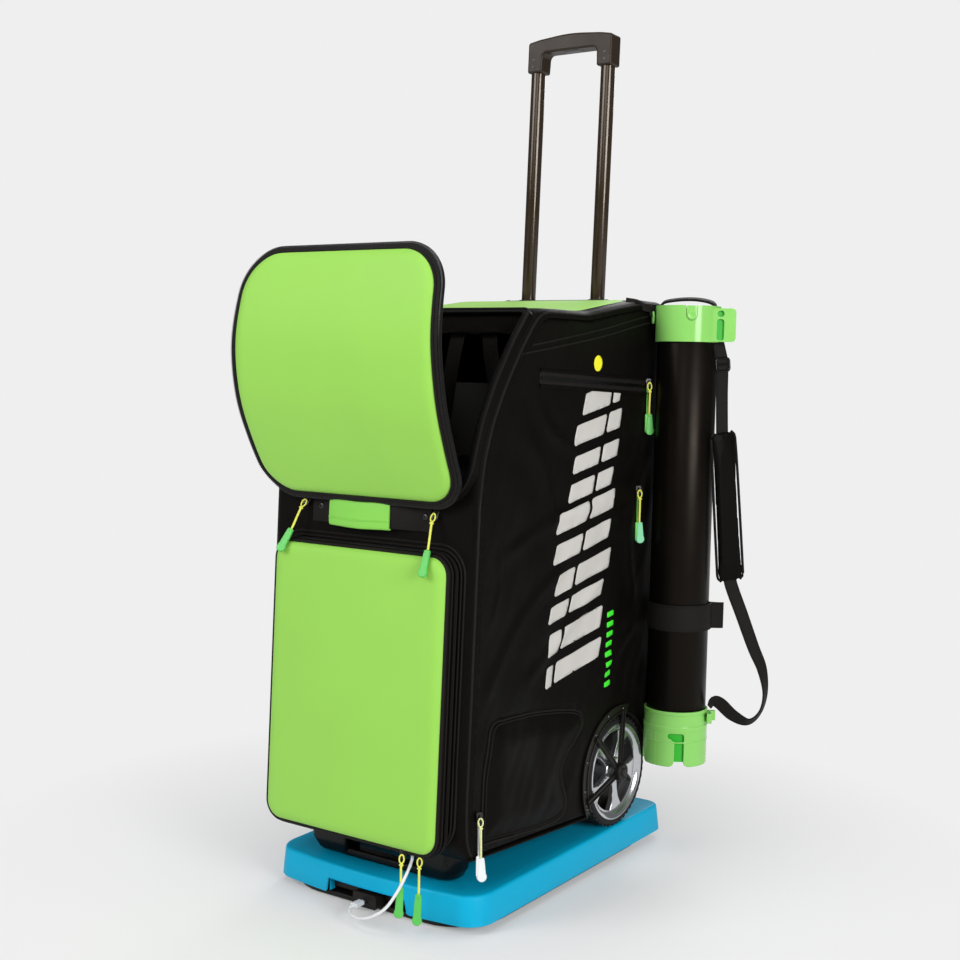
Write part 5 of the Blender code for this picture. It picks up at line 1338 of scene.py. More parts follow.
# ---------------------------------------------------------------- telescopic handle
def handle():
    """Two glossy tubes and an arched grip with its screws and its release button."""
    for sign, side in ((1, "right"), (-1, "left")):
        place = BAG @ Matrix.Translation((sign * HANDLE_X, HANDLE_Y, 0))
        tube = turned([(0.0104, 0.7500), (0.0114, 0.7500), (0.0119, 0.7510), (0.0119, 1.2450), (0.0104, 1.2450)], 64)
        piece("handle_pole_" + side, tube, "pole", "handle", place, ["handle_tube_" + side])
    outer = filleted([(-0.0825, 1.2345, 0), (-0.0825, 1.2855, 0.0050), (-0.0600, 1.2895, 0.03), (0.0, 1.2950, 0.30),
                      (0.0600, 1.2895, 0.03), (0.0825, 1.2855, 0.0050), (0.0825, 1.2345, 0)], False)
    under = filleted([(0.0545, 1.2345, 0), (0.0530, 1.2665, 0.0090), (-0.0530, 1.2665, 0.0090),
                      (-0.0545, 1.2345, 0)], False)
    grip = slab(np.vstack([outer, under]), HANDLE_Y - 0.0155, HANDLE_Y + 0.0155, "XZ")
    soften(piece("handle_arch", grip, "grip", "handle", replaces=["handle_grip"]), 0.0034, 4)
    for sign, name in ((1, "right"), (-1, "left")):
        for k, z in enumerate((1.2440, 1.2560)):
            for face, y in (("front", -0.0155), ("back", 0.0155)):
                turn = Matrix.Rotation(math.pi, 4, "X") if y < 0 else Matrix.Identity(4)
                place = BAG @ Matrix.Translation((sign * 0.0700, HANDLE_Y + y, z)) @ turn
                screw("grip_screw_%s_%d_%s" % (name, k, face), "handle", place,
                      0.0028, 0.0004, 0.0022, 0.0009, 0.0012, 0.0002, "Y")
    low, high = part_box("handle_button")
    size = high - low
    key = block((size.x, size.y, size.z))
    button = piece("handle_trigger", key, "grey_plastic", "handle_release", Matrix.Translation((low + high) / 2)
                   @ Matrix.Rotation(-LEAN, 4, "X"), ["handle_button"])
    soften(button, 0.0022, 4)


# ---------------------------------------------------------------- blue turning deck
def deck_line(grow):
    """The deck's outline: a bowed front with round corners, straight sides, a nearly straight rear."""
    half, front, bow, rear = 0.1920 + grow, -0.2030 - grow, -0.2240 - grow, 0.3200 + grow
    radius = 0.0400
    points = []
    for x in np.linspace(-half + radius, half - radius, 41):
        share = x / (half - radius)
        points.append((x, bow + (front - bow) * share * share * 0.55))
    edge = points[-1][1]
    points += arc((half - radius, edge + radius), radius, -86, 0, 14)
    points += arc((half - 0.0200, rear - 0.0200), 0.0200, 0, 90, 10)
    points += arc((-half + 0.0200, rear - 0.0200), 0.0200, 90, 180, 10)
    points += arc((-half + radius, edge + radius), radius, 180, 266, 14)
    return spaced(points, 0.004, True)


def deck():
    """Blue moulded turning deck: a drafted skirt with a soft top edge and a notch at the front."""
    levels = [(-0.0250, DECK_TOP - 0.0006), (-0.0050, DECK_TOP - 0.0002), (-0.0030, DECK_TOP - 0.0005),
              (-0.0015, DECK_TOP - 0.0014), (-0.0005, DECK_TOP - 0.0028), (0.0, DECK_TOP - 0.0048),
              (0.0014, 0.0340), (0.0030, 0.0128), (0.0026, 0.0120), (0.0004, 0.0120), (0.0, 0.0128),
              (-0.0022, 0.0500)]
    notch_half, notch_top, notch_ramp = 0.0725, 0.0342, 0.005
    count = 560
    loops = []
    for grow, z in levels:
        loop = deck_line(grow)
        closed = np.vstack([loop, loop[:1]])
        marks = marks_along(closed)
        flat = sampled(np.linspace(0, marks[-1], count, endpoint=False), marks, closed)
        lift = np.full(count, z)
        if z < 0.034:
            notched = ramp(notch_half + notch_ramp - np.abs(flat[:, 0]), 0.0, notch_ramp) * (flat[:, 1] < -0.15)
            lift = z + (notch_top - z) * notched
        loops.append(np.column_stack([flat, lift]))
    points = np.vstack(loops)
    faces = [(a, d, c, b) for a, b, c, d in quads(len(loops), count)]
    top = len(points)
    points = np.vstack([points, [(0, 0.05, DECK_TOP - 0.0006)], [(0, 0.05, 0.0500)]])
    last = (len(loops) - 1) * count
    faces += [(top, k, (k + 1) % count) for k in range(count)]
    faces += [(top + 1, last + (k + 1) % count, last + k) for k in range(count)]
    uvs = np.column_stack([points[:, 0], points[:, 1] + points[:, 2]])
    piece("blue_deck", mesh_of(points, faces, uvs), "blue", "deck", WORLD, ["deck_shell"], 40)
    rib = []
    for x in (-0.0740, 0.0740):
        rib.append(as_mesh(block((0.0020, 0.0100, 0.0200), (x, -0.2130, 0.0230))))
    soften(piece("notch_ribs", join_meshes(rib), "blue", "deck", WORLD), 0.0006)


def socket():
    """Black power socket block under the front of the deck, with the port for the plug."""
    low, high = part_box("power_socket")
    outline = rounded(low.x, high.x, low.z, high.z, 0.0035)
    x, z = PORT_X, PORT_Z
    port = rounded(x - 0.0046, x + 0.0046, z - 0.0018, z + 0.0018, 0.0014)
    front = panel(outline, flat_at(1, low.y), 0.004, (port,), flip=True)
    walls = []
    for loop, far, turn in ((spaced(outline, 0.001, True), high.y, 1),
                            (spaced(port, 0.0006, True), low.y + 0.010, -1)):
        count = len(loop)
        points = np.vstack([flat_at(1, y)(loop) for y in (low.y, far)])
        faces = [face[::turn] for face in quads(2, count)] + [tuple(range(count, 2 * count))]
        walls.append(mesh_of(points, faces, points[:, :2]))
    bm = bmesh.new()
    for mesh in [front] + walls:
        bm.from_mesh(mesh)
    bmesh.ops.remove_doubles(bm, verts=bm.verts, dist=0.00002)
    piece("socket_block", bm, "black_plastic", "deck", WORLD, ["power_socket"])


def feet():
    """Dark pan that shows under the deck's skirt, a black base that also stands in for the contact shadow there as
    painted shade, and rubber runners with a row of ribs along each.
    """
    # black base under the skirt, partly real and partly painted shadow where the deck meets the floor
    pan = slab(rounded(-0.1830, 0.1830, -0.2130, 0.3100, 0.080), 0.0022, 0.0098)
    soften(piece("base_pan_and_painted_shadow", pan, "black_plastic", "base", WORLD), 0.0008, 2)
    for side in ("left", "right"):
        low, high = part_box("base_foot_" + side)
        parts = [as_mesh(slab(rounded(low.x, high.x, low.y, high.y, 0.010), 0.0008, high.z, "XY"))]
        for y in np.arange(low.y + 0.012, high.y - 0.008, 0.0125):
            parts.append(as_mesh(block((high.x - low.x - 0.006, 0.0060, 0.0012), ((low.x + high.x) / 2, y, 0.0006))))
        soften(piece("base_runner_" + side, join_meshes(parts), "rubber", "base", WORLD, ["base_foot_" + side]),
               0.0004, 2)


# ---------------------------------------------------------------- ball tube
def around(angle, radius, z):
    """Point round the tube's axis."""
    return np.array((radius * math.cos(angle), radius * math.sin(angle), z))


def ball_tube():
    """Black pick-up tube with its end fittings, its band and its carry loop."""
    wall = [(0.0450, 0.0585), (0.0474, 0.0585), (0.0478, 0.0591), (0.0478, 0.7260), (0.0474, 0.7265),
            (0.0450, 0.7265)]
    piece("tube_barrel", turned(wall, 96), "tube", "tube", TUBE, ["ball_tube"], 40)
    catcher()
    top_collar()
    wrap()
    loop()


def shell(outline, radius, thick, step=0.0022):
    """A wall rolled round the tube from an outline of (distance round, height) points."""
    def roll(points, depth=0.0):
        turn = points[:, 0] / radius
        return np.stack([(radius - depth) * np.cos(turn), (radius - depth) * np.sin(turn), points[:, 1]], 1)

    outer = panel(outline, roll, step)
    bm = bmesh.new()
    bm.from_mesh(outer)
    bpy.data.meshes.remove(outer)
    bmesh.ops.recalc_face_normals(bm, faces=bm.faces)
    made = bmesh.ops.extrude_face_region(bm, geom=bm.faces[:])
    for vert in (g for g in made["geom"] if isinstance(g, bmesh.types.BMVert)):
        vert.co.xy *= (radius - thick) / radius
    bmesh.ops.recalc_face_normals(bm, faces=bm.faces)
    return bm


def slotted(radius, low, high, start, cuts):
    """Outline of an unrolled wall with cuts let into its lower edge: (angle, half width, top, bend, hook)."""
    first, last = radius * start, radius * (start + 2 * math.pi)
    corners = [(first, low, 0)]
    for angle, half, top, bend, hook in cuts:
        at = radius * angle
        corners += [(at - half, low, bend)]
        if hook:
            corners += [(at - half, top - 0.0120, 0.0028), (at - half - 0.0045, top - 0.0120, 0.0016),
                        (at - half - 0.0060, top - 0.0085, 0.0016), (at - half - hook, top - 0.0085, 0.0030),
                        (at - half - hook, top, 0.0040)]
        else:
            corners += [(at - half, top, 0.0040)]
        corners += [(at + half, top, 0.0040), (at + half, low, bend)]
    corners += [(last, low, 0), (last, high, 0), (first, high, 0)]
    return filleted(corners, count=7)


def catcher():
    """Green ball-catching cap at the tube's lower end, with its slots and its inner sleeve."""
    first = BUTTON_SIDE + math.radians(2)
    start = first - math.pi / 4
    cuts = [(first + k * math.pi / 2, 0.0076, 0.0190, 0.0095, 0) for k in range(4)]
    cuts[0] = (first, 0.0076, 0.0540, 0.0095, 0.0115)
    parts = [as_mesh(shell(slotted(0.0512, 0.0, 0.0570, start, cuts), 0.0512, 0.0030)),
             as_mesh(turned([(0.0482, 0.0562), (0.0512, 0.0562), (0.0516, 0.0572), (0.0516, 0.0640), (0.0504, 0.0650),
                             (0.0504, 0.0830), (0.0514, 0.0838), (0.0514, 0.0880), (0.0508, 0.0888),
                             (0.0482, 0.0888)], 144)),
             as_mesh(turned([(0.0508, 0.0385), (0.0516, 0.0391), (0.0517, 0.0400), (0.0512, 0.0412)], 144))]
    boss = block((0.0080, 0.0300, 0.0160), (0.0502, -0.0180, 0.0760))
    tail = block((0.0180, 0.0060, 0.0160), (0.0545, -0.0060, 0.0760))
    for mesh in (boss, tail):
        bmesh.ops.transform(mesh, matrix=Matrix.Rotation(TUBE_SIDE, 4, "Z"), verts=mesh.verts)
        parts.append(as_mesh(mesh))
    soften(piece("tube_catcher", join_meshes(parts), "green_plastic", "tube", CAP, ["tube_cap"], 40), 0.0007, 2, 50)
    # the inner sleeve wears the darker green as painted shade inside the cap
    inner = turned([(0.0450, 0.0080), (0.0466, 0.0080), (0.0466, 0.0575), (0.0450, 0.0575)], 96)
    piece("tube_catcher_sleeve", inner, "green_painted_shade", "tube", CAP)
    screw_at(TUBE_SIDE - math.radians(34), 0.0538, 0.0765, "catcher_screw")


def top_collar():
    """Green collar at the tube's open end, with its ear, its tongue and the push button in it."""
    top, low = TUBE_LENGTH, TUBE_LENGTH - 0.0570
    start = BUTTON_SIDE + math.pi
    radius = 0.0517
    at = radius * BUTTON_SIDE
    first, last = radius * (start - 2 * math.pi), radius * start
    notch = [(at + 0.0090, top, 0.001), (at + 0.0090, top - 0.0240, 0.0088), (at - 0.0090, top - 0.0240, 0.0088),
             (at - 0.0090, top, 0.001)]
    outline = filleted([(first, low, 0), (last, low, 0), (last, top, 0)] + notch + [(first, top, 0)], count=9)
    ring = join_meshes([as_mesh(shell(outline, radius, 0.0034)), ear(low, top)])
    soften(piece("tube_top_collar", ring, "green_plastic", "tube", TUBE, ["tube_collar"], 40), 0.0007, 2, 50)
    tongue = filleted([(at - 0.0083, top - 0.0006, 0.001), (at - 0.0083, top - 0.0233, 0.0081),
                       (at + 0.0083, top - 0.0233, 0.0081), (at + 0.0083, top - 0.0006, 0.001)], count=9)
    obj = piece("collar_tongue", shell(tongue, radius, 0.0030), "green_plastic", "tube", TUBE, smooth=40)
    soften(obj, 0.0004, 2, 50)
    spot = around(BUTTON_SIDE, 0.0512, top - 0.0155)
    place = TUBE @ Matrix.Translation(spot) @ Matrix.Rotation(BUTTON_SIDE, 4, "Z")
    knob = turned([(0, 0), (0.0066, 0), (0.0066, 0.0014), (0.0060, 0.0020), (0.0034, 0.0017), (0.0030, 0.0012),
                   (0, 0.0012)], 40, "X")
    piece("collar_push_button", knob, "green_plastic", "tube_release", place, ["collar_button"], 30)
    screw_at(BUTTON_SIDE + math.radians(44), radius - 0.0004, top - 0.0390, "collar_screw")


def ear(low, top):
    """Plate on the collar's side, pierced by an oval above and a long slot below, with a darker green plate behind
    the holes as painted shade.
    """
    outline = filleted([(0.0330, low + 0.001, 0), (0.0700, low + 0.001, 0.0060), (0.0700, top - 0.0035, 0.0060),
                        (0.0330, top - 0.0035, 0)], count=8)
    holes = (rounded(0.0405, 0.0515, top - 0.0170, top - 0.0070, 0.0046),
             rounded(0.0400, 0.0515, low + 0.0030, top - 0.0205, 0.0036))

    def plate(shape, gaps, near, thick):
        """A flat plate beside the tube, from an outline of (distance out, height) points."""
        bm = bmesh.new()
        flat = panel(shape, lambda p: p[:, :1] * TUBE_OUT + p[:, 1:2] * (0, 0, 1) + TUBE_ACROSS * near, 0.003, gaps)
        bm.from_mesh(flat)
        bpy.data.meshes.remove(flat)
        made = bmesh.ops.extrude_face_region(bm, geom=bm.faces[:])
        bmesh.ops.translate(bm, vec=tuple(TUBE_ACROSS * thick),
                            verts=[g for g in made["geom"] if isinstance(g, bmesh.types.BMVert)])
        bmesh.ops.recalc_face_normals(bm, faces=bm.faces)
        return as_mesh(bm)

    # darker green plate behind the ear's holes: painted shade for the gap seen through them
    recess = plate(rounded(0.0370, 0.0560, low + 0.002, top - 0.005, 0.003), (), -0.0352, 0.0010)
    piece("collar_painted_shade_plate", recess, "green_painted_shade", "tube", TUBE)
    return plate(outline, holes, -0.0398, 0.0044)


def screw_at(angle, radius, z, name):
    """A small screw in a fitting of the tube."""
    place = TUBE @ Matrix.Translation(around(angle, radius, z)) @ Matrix.Rotation(angle, 4, "Z")
    screw(name, "tube", place, 0.0022, 0.0005, 0.0016, 0.0010, 0.0009, 0.0002, "X")


def wrap():
    """Hook-and-loop band that holds the tube to the bag, with its free tab."""
    inner, height = 0.0489, 0.2350
    route = [around(TUBE_SIDE, inner + 0.0235, height), around(TUBE_SIDE + 0.01, inner + 0.012, height),
             around(TUBE_SIDE + 0.07, inner + 0.0032, height)]
    route += [around(a, inner + 0.0009, height)
              for a in np.linspace(TUBE_SIDE + 0.12, TUBE_SIDE + 2 * math.pi - 0.10, 90)[::6]]
    route += [around(TUBE_SIDE - 0.06, inner + 0.0035, height),
              around(TUBE_SIDE, inner + 0.006, height) + (0.0012, -0.0016, 0),
              around(TUBE_SIDE - 0.025, inner + 0.0205, height)]
    path = smooth_line(route, 0.003)
    side, up = frames_along(path, (0, 0, 1))
    section = [(-0.0009, -0.021), (0.0009, -0.021), (0.0011, 0), (0.0009, 0.021), (-0.0009, 0.021), (-0.0011, 0)]
    piece("tube_band", sweep(path, side, up, section), "webbing", "deck", TUBE, ["tube_wrap"])
    for k, z in enumerate((0.2165, 0.2535)):
        stitch = np.array([p + (0, 0, z - height) for p in path])
        shift = np.array([s * 0.0010 for s in side])
        piece("tube_band_stitch_%d" % k, tube_along(stitch + shift, 0.0005, (0, 0, 1), 6), "tape", "deck", TUBE)


def loop():
    """Carry loop of webbing over the tube's open end."""
    top = TUBE_LENGTH
    line = [(-0.0430, top - 0.0300), (-0.0432, top - 0.0060), (-0.0400, top + 0.0050), (-0.0200, top + 0.0098),
            (0.0050, top + 0.0115), (0.0250, top + 0.0098), (0.0400, top + 0.0050), (0.0436, top - 0.0060),
            (0.0432, top - 0.0300)]
    path = smooth_line([TUBE_OUT * r + (0, 0, z) for r, z in line], 0.004)
    wide = unit(np.tile(TUBE_ACROSS, (len(path), 1)) + TUBE_OUT * 0.25 + (0, 0, 0.2))
    up = np.cross(wide, unit(np.gradient(path, axis=0)))
    piece("tube_carry_loop", sweep(path, wide, up, flat_section(0.020, 0.0040)), "webbing", "tube", TUBE,
          ["carry_loop"])


# ---------------------------------------------------------------- shoulder strap
def strap_rows(rows):
    """Path, width direction and upward direction of the strap through (out, across, height, turn) rows."""
    table = smooth_line(np.array([(u, v, z, turn / 1000) for u, v, z, turn in rows]), 0.005)
    path = table[:, :1] * TUBE_OUT - table[:, 1:2] * TUBE_ACROSS + table[:, 2:3] * (0, 0, 1)
    turn = np.radians(table[:, 3] * 1000)[:, None]
    ahead = unit(np.gradient(path, axis=0))
    wide = unit(np.cross(ahead, TUBE_ACROSS)) * np.cos(turn) + TUBE_ACROSS * np.sin(turn)
    up = unit(np.cross(ahead, wide))
    return path, np.cross(up, ahead), up


def shoulder_strap():
    """Stitched webbing above and below the shoulder pad, then its buckle and the pad."""
    upper = ((0.0440, 0.0230, 0.6800, 25), (0.0480, 0.0240, 0.6640, 25), (0.0530, 0.0245, 0.6400, 25),
             (0.0540, 0.0250, 0.5900, 25), (0.0560, 0.0270, 0.5300, 25), (0.0575, 0.0262, 0.5100, 25))
    lower = ((0.0780, 0.0130, 0.3140, 15), (0.0805, 0.0120, 0.2890, 15), (0.1010, 0.0095, 0.2370, 18),
             (0.1220, 0.0060, 0.1840, 25), (0.1380, 0.0030, 0.1480, 38), (0.1450, 0.0, 0.1090, 60),
             (0.1380, 0.0, 0.0770, 66), (0.1190, 0.0, 0.0600, 50), (0.0940, 0.0, 0.0700, 28),
             (0.0720, 0.0040, 0.0900, 22), (0.0600, 0.0080, 0.0960, 40), (0.0530, 0.0110, 0.0860, 60))
    for name, rows, node in (("upper", upper, "strap_upper"), ("lower", lower, "strap_lower")):
        path, wide, up = strap_rows(rows)
        piece("strap_webbing_" + name, sweep(path, wide, up, flat_section(0.022, 0.0022)), "webbing", "tube", TUBE,
              [node])
        for k, shift in enumerate((-0.0088, 0.0088)):
            for j, face in enumerate((-0.0012, 0.0012)):
                line = path + wide * shift + up * face
                piece("strap_stitch_%s_%d_%d" % (name, k, j), tube_along(line, 0.0004, (0.1, 0.2, 1), 5), "tape",
                      "tube", TUBE)
    buckle()
    pad()


def pad():
    """Padded shoulder sleeve on the strap: a closed form swollen by a cloth simulation."""
    rows = ((0.0565, 0.0285, 0.5330, 25), (0.0610, 0.0270, 0.4900, 22), (0.0680, 0.0225, 0.4150, 18),
            (0.0750, 0.0160, 0.3450, 16), (0.0800, 0.0120, 0.2940, 15))
    path, wide, up = strap_rows(rows)
    count = len(path)
    share = np.linspace(0, 1, count)
    ends = np.sqrt(np.clip(1 - (1 - np.clip(np.minimum(share, 1 - share) / 0.05, 0, 1)) ** 2, 0, 1)) * 0.28 + 0.72
    section = np.array([(c * 0.0212, s * 0.0032) for c, s in
                        ((math.copysign(abs(math.cos(a)) ** 0.5, math.cos(a)),
                          math.copysign(abs(math.sin(a)) ** 0.5, math.sin(a)))
                         for a in np.linspace(0, 2 * math.pi, 24, endpoint=False))])
    points = (path[:, None, :] + wide[:, None, :] * section[None, :, :1] * ends[:, None, None]
              + up[:, None, :] * section[None, :, 1:])
    mesh = mesh_of(points.reshape(-1, 3), quads(count, len(section)) + end_caps(count, len(section)))
    obj = piece("strap_cushion", mesh, "nylon", "tube", TUBE, ["strap_pad"], 60)
    swell(obj, 0.0025, 3.0, 0.0030)
    binding = []
    for sign in (-1, 1):
        line = path + wide * (ends * 0.0226)[:, None] * sign
        binding.append(tube_along(line, 0.0022, (0.1, 0.2, 1), 10))
    piece("strap_cushion_binding", join_meshes(binding), "webbing", "tube", TUBE)


def swell(obj, voxel, pressure, most):
    """Fills a closed fabric piece by cloth pressure and keeps the result in its mesh."""
    scene = bpy.context.scene
    rest = obj.data
    work = bpy.data.objects.new("swell", rest.copy())
    scene.collection.objects.link(work)
    work.modifiers.new("remesh", "REMESH").mode = "VOXEL"
    work.modifiers["remesh"].voxel_size = voxel
    graph = bpy.context.evaluated_depsgraph_get()
    base = bpy.data.meshes.new_from_object(work.evaluated_get(graph))
    work.modifiers.clear()
    work.data = base
    start = np.array([tuple(v.co) for v in base.vertices])
    cloth = work.modifiers.new("cloth", "CLOTH")
    cloth.settings.use_pressure = True
    cloth.settings.uniform_pressure_force = pressure
    cloth.settings.quality = 5
    cloth.settings.tension_stiffness = 20
    cloth.settings.effector_weights.gravity = 0
    frames = 20
    cloth.point_cache.frame_start, cloth.point_cache.frame_end = 1, frames
    for number in range(1, frames + 1):
        scene.frame_set(number)
    graph = bpy.context.evaluated_depsgraph_get()
    filled = work.evaluated_get(graph).to_mesh()
    end = np.array([tuple(v.co) for v in filled.vertices])
    scene.frame_set(1)
    move = end - start
    size = np.linalg.norm(move, axis=1)[:, None]
    end = start + move * np.minimum(1, most / np.maximum(size, 1e-9))
    for vertex, spot in zip(base.vertices, end):
        vertex.co = spot
    work.modifiers.clear()
    for material in rest.materials:
        if material.name not in [m.name for m in base.materials if m]:
            base.materials.append(material)
    base.shade_smooth()
    obj.data = base
    bpy.data.objects.remove(work)
    obj.modifiers.new("smooth_fabric", "SUBSURF").levels = 1
    obj.modifiers["smooth_fabric"].render_levels = 1


def buckle():
    """Black tri-glide buckle on the strap's upper webbing."""
    path, wide, up = strap_rows(((0.0480, 0.0240, 0.6640, 25), (0.0530, 0.0245, 0.6400, 25),
                                 (0.0540, 0.0250, 0.5900, 25)))
    at = int(len(path) * 0.36)
    turn = Matrix((wide[at], np.cross(up[at], wide[at]), up[at])).transposed().to_4x4()
    place = TUBE @ Matrix.Translation(path[at]) @ turn
    frame = [(u, v, 0.0004) for u, v in filleted([(0.0125, -0.0100, 0.005), (0.0125, 0.0100, 0.005),
                                                  (-0.0125, 0.0100, 0.005), (-0.0125, -0.0100, 0.005)])]
    parts = [tube_along(np.array(frame), 0.0024, (0, 0, 1), 10, True),
             as_mesh(block((0.0240, 0.0040, 0.0044), (0, 0, 0.0004)))]
    soften(piece("strap_buckle", join_meshes(parts), "gloss_plastic", "tube", place, smooth=50), 0.0006, 2)


# ---------------------------------------------------------------- zip pulls
def pull(name, top, low, out, body, look="green_tab", cord="cord", replaces=(), tab=0.034):
    """A zip slider, its knotted cord, and the moulded tab at the cord's end, between two points."""
    top, low, out = Vector(top), Vector(low), Vector(out).normalized()
    down = (low - top).normalized()
    out = (out - down * out.dot(down)).normalized()
    side = out.cross(down)
    head = Matrix((side, out, -down)).transposed().to_4x4()
    slider = slab(filleted([(-0.0042, -0.0075, 0.002), (0.0042, -0.0075, 0.002), (0.0050, 0.0070, 0.002),
                            (-0.0050, 0.0070, 0.002)], count=4), -0.0024, 0.0024, "XZ")
    parts = [as_mesh(slider), as_mesh(block((0.0022, 0.0050, 0.0085), (0, 0.0036, 0)))]
    place = Matrix.Translation(top - out * 0.001) @ head
    soften(piece(name + "_slider", join_meshes(parts), "black_metal", "deck", place), 0.0007, 2)
    turn = np.linspace(0, 2 * math.pi, 22, endpoint=False)
    ring = [top + out * 0.0056 + down * (0.0060 - 0.0060 * math.cos(a)) + side * 0.0034 * math.sin(a) for a in turn]
    strands = [tube_along([tuple(p) for p in ring], 0.0011, tuple(out), 8, True)]
    knot = [top + out * (0.0056 + 0.0016 * math.sin(a)) + down * (0.0140 + 0.0006 * math.cos(2 * a))
            + side * 0.0022 * math.cos(a) for a in turn]
    strands.append(tube_along([tuple(p) for p in knot], 0.0012, tuple(down), 8, True))
    route = [top + out * 0.0056 + down * 0.0120, top + out * 0.0050 + down * 0.0200,
             low - down * (tab + 0.004), low - down * (tab - 0.004)]
    strands.append(tube_along(smooth_line([tuple(p) for p in route], 0.002), 0.0017, tuple(out), 8))
    piece(name + "_cord", join_meshes(strands), cord, body, WORLD)
    disc = [tuple(p) for p in arc((0, -tab + 0.0070), 0.0070, 150, 390, 17)]
    outline = (filleted([(0.0044, 0.0, 0.0020), (-0.0044, 0.0, 0.0020)], False).tolist()
               + [(-0.0052, -0.012), (-0.0056, -tab + 0.0125)] + disc
               + [(0.0056, -tab + 0.0125), (0.0052, -0.012)])
    parts = [as_mesh(slab([tuple(p) for p in outline], -0.0024, 0.0024, "XZ")),
             as_mesh(block((0.0056, 0.0058, 0.0050), (0, 0, -0.0026)))]
    place = Matrix.Translation(low - down * tab) @ head
    soften(piece(name + "_tab", join_meshes(parts), look, body, place, list(replaces)), 0.0012, 3)


def bag_point(x, y, z):
    """World position of a point of the bag."""
    return BAG @ Vector((x, y, z))


def zip_pulls():
    """Three pulls on the right side, that ride on their own joints, and four at the front."""
    for name, y, z, length, look in (("side_upper", 0.034, 0.713, 0.084, "green_tab"),
                                     ("side_middle", 0.019, 0.541, 0.086, "green_pale"),
                                     ("pocket", -0.384, 0.090, 0.092, "white")):
        top = bag_point(0.1925, y, z)
        nodes = [n for n in NODES if n.startswith("pull_" + name)]
        pull("pull_" + name, top, top + Vector((0.004, 0, -length)), (0.75, -0.65, 0), "pull_" + name, look,
             "cord_pale" if name == "pocket" else "cord", nodes)
    for name, top, low, out, tab in (
            ("pull_door_left", (-0.122, -0.417, 0.512), (-0.143, -0.4520, 0.436), (0.2, -1, 0.1), 0.038),
            ("pull_door_right", (0.118, -0.417, 0.508), (0.127, -0.4540, 0.424), (0.2, -1, 0.1), 0.040),
            ("pull_low_inner", (0.100, -0.4350, 0.030), (0.101, -0.4410, -0.060), (0.4, -1, 0), 0.044),
            ("pull_low_outer", (0.128, -0.4300, 0.030), (0.130, -0.4360, -0.065), (0.4, -1, 0), 0.044)):
        pull(name, bag_point(*top), bag_point(*low), out, "deck", tab=tab)


def corner_link():
    """Webbing link with a green hook between the bag's rear top corner and the tube's collar."""
    turn = TUBE_SIDE + math.pi
    ends = [TUBE @ Vector(tuple(around(turn, radius, TUBE_LENGTH + z)))
            for radius, z in ((0.0590, -0.0060), (0.0565, -0.0120), (0.0560, -0.0170))]
    start = [bag_point(0.170, -0.010, 0.8395), bag_point(0.1825, 0.004, 0.8375), bag_point(0.1905, 0.014, 0.8320)]
    path = smooth_line([tuple(p) for p in start + ends], 0.003)
    side, up = frames_along(path, (0.75, -0.55, 0.35))
    piece("corner_link", sweep(path, side, up, flat_section(0.013, 0.0022)), "webbing", "deck", WORLD)
    spot = ends[-1]
    hook = [spot + Vector((0.0022 * math.cos(a), -0.0022 * math.cos(a), 0.0085 * math.sin(a) - 0.002))
            for a in np.linspace(0, 2 * math.pi, 24, endpoint=False)]
    piece("corner_hook", tube_along([tuple(p) for p in hook], 0.0017, (0.7, 0.7, 0), 10, True), "green_plastic",
          "deck", WORLD)


# ---------------------------------------------------------------- CAD nodes that stay, light and floor
KEPT = {
    "pivot_post": "steel", "sector_gear": "grey_plastic", "drive_pinion": "white", "bearing_ring": "steel",
    "turn_motor": "motor", "drive_box": "black_plastic", "base_plate": "black_plastic",
    "inner_frame": "black_plastic", "handle_guide_left": "aluminium", "handle_guide_right": "aluminium",
    "wheel_axle": "steel", "hopper": "black_plastic", "feed_rotor": "grey_plastic", "feed_motor": "motor",
    "launcher_housing": "black_plastic", "launch_wheel_upper": "rubber", "launch_wheel_lower": "rubber",
    "launch_motor_upper": "motor", "launch_motor_lower": "motor", "control_panel": "gloss_black",
    "speed_knob": "grey_plastic", "power_button": "green_plastic", "battery": "black_plastic",
}


def kept_nodes():
    """Looks for the CAD parts that are shown as they are."""
    for name, look in KEPT.items():
        mesh = NODES[name].data
        if not mesh.materials:
            mesh.materials.append(MATERIALS[look])
        for slot in NODES[name].material_slots:
            slot.material = MATERIALS[look]


LIGHTS = (
    # name, place, target, size in metres, power in watts
    ("key", (-1.7, -3.4, 2.5), (0, 0, 0.5), 2.4, 90),
    ("fill", (1.5, -3.8, 2.6), (0, 0, 0.5), 2.4, 34),
    ("top", (0.2, -0.4, 3.6), (0, 0, 0.5), 2.2, 34),
    ("side", (3.6, -1.3, 1.6), (0, 0.1, 0.5), 1.8, 112),
    ("rear", (-0.8, 3.2, 2.4), (0, 0.2, 0.6), 1.8, 40),
)


def area_light(name, spot, target, size, power):
    """A round area light that faces its target."""
    data = bpy.data.lights.new(name, "AREA")
    data.shape = "DISK"
    data.size = size
    data.energy = power
    obj = bpy.data.objects.new(name, data)
    bpy.context.scene.collection.objects.link(obj)
    obj.location = spot
    obj.rotation_euler = (Vector(target) - Vector(spot)).to_track_quat("-Z", "Y").to_euler()


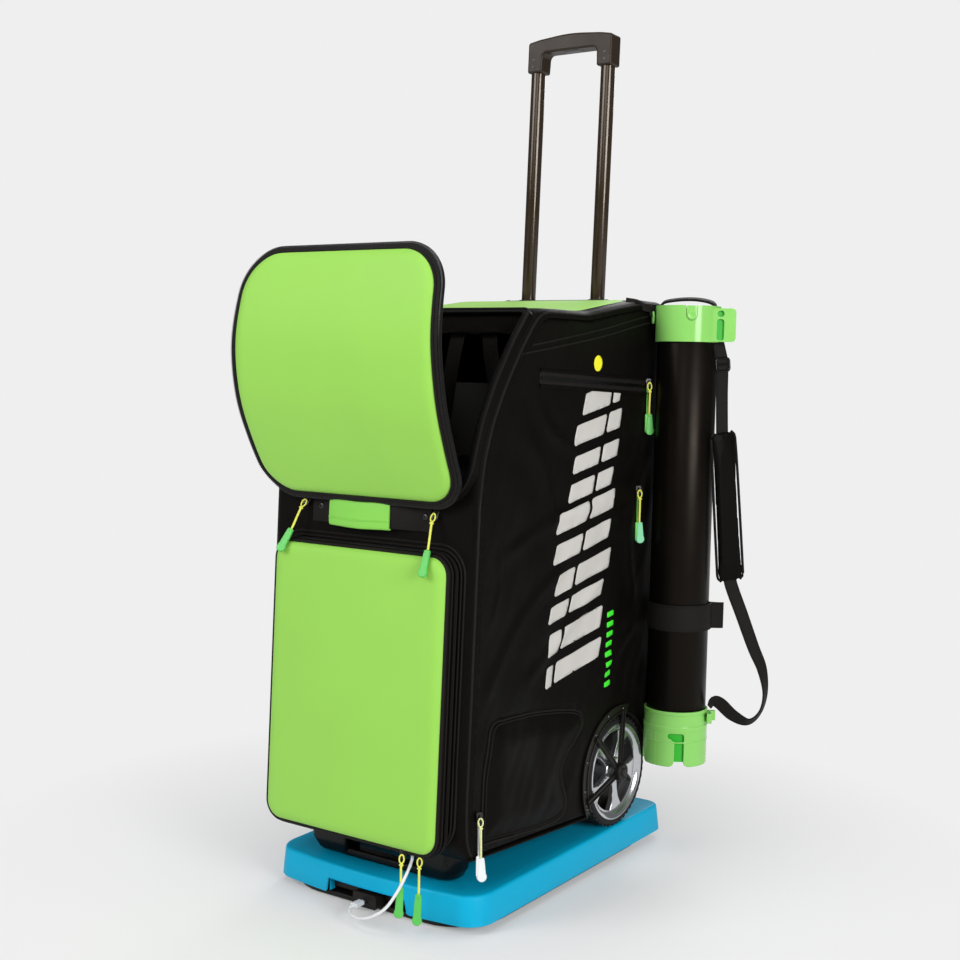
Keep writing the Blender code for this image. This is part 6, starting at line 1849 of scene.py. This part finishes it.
def studio():
    """Pale floor that fades into an even pale surround, and large soft lights."""
    scene = bpy.context.scene
    scene.view_settings.view_transform = "Standard"
    scene.view_settings.look = "None"
    pale = linear("EFEFEF")
    world = bpy.data.worlds.new("surround")
    scene.world = world
    world.use_nodes = True
    tree = world.node_tree
    seen, soft = tree.nodes["Background"], tree.nodes.new("ShaderNodeBackground")
    seen.inputs[0].default_value = (*pale, 1)
    soft.inputs[0].default_value = (0.80, 0.82, 0.86, 1)
    soft.inputs[1].default_value = 0.15
    ray, pick = tree.nodes.new("ShaderNodeLightPath"), tree.nodes.new("ShaderNodeMixShader")
    tree.links.new(ray.outputs["Is Camera Ray"], pick.inputs[0])
    tree.links.new(soft.outputs[0], pick.inputs[1])
    tree.links.new(seen.outputs[0], pick.inputs[2])
    tree.links.new(pick.outputs[0], tree.nodes["World Output"].inputs["Surface"])
    bm = bmesh.new()
    bmesh.ops.create_circle(bm, cap_ends=True, segments=128, radius=9.0)
    mesh = bpy.data.meshes.new("floor")
    bm.to_mesh(mesh)
    bm.free()
    floor = bpy.data.objects.new("floor", mesh)
    floor.location.z = -0.0005
    scene.collection.objects.link(floor)
    made = Shader("pale_floor", (0.80, 0.80, 0.80), 0.8, Specular_IOR_Level=0.1)
    glow = made.node("ShaderNodeEmission", {"Color": (*pale, 1), "Strength": 1.0})
    distance = made.node("ShaderNodeVectorMath", {0: made.coords.outputs["Object"]}, operation="LENGTH").outputs[1]
    share = made.spread(distance, 0.25, 0.90, 0.25, 1.0)
    mix = made.node("ShaderNodeMixShader", {0: share, 1: made.shader.outputs[0], 2: glow.outputs[0]})
    made.tree.links.new(mix.outputs[0], made.tree.nodes["Material Output"].inputs["Surface"])
    mesh.materials.append(made.material)
    for row in LIGHTS:
        area_light(*row)


camera()
cable()
bag_body()
side_details()
opening()
lid()
bezel()
flap()
flap_hinge()
door()
grab()
stand()
wheel(1, "right")
wheel(-1, "left")
handle()
deck()
socket()
feet()
ball_tube()
shoulder_strap()
zip_pulls()
corner_link()
kept_nodes()
studio()
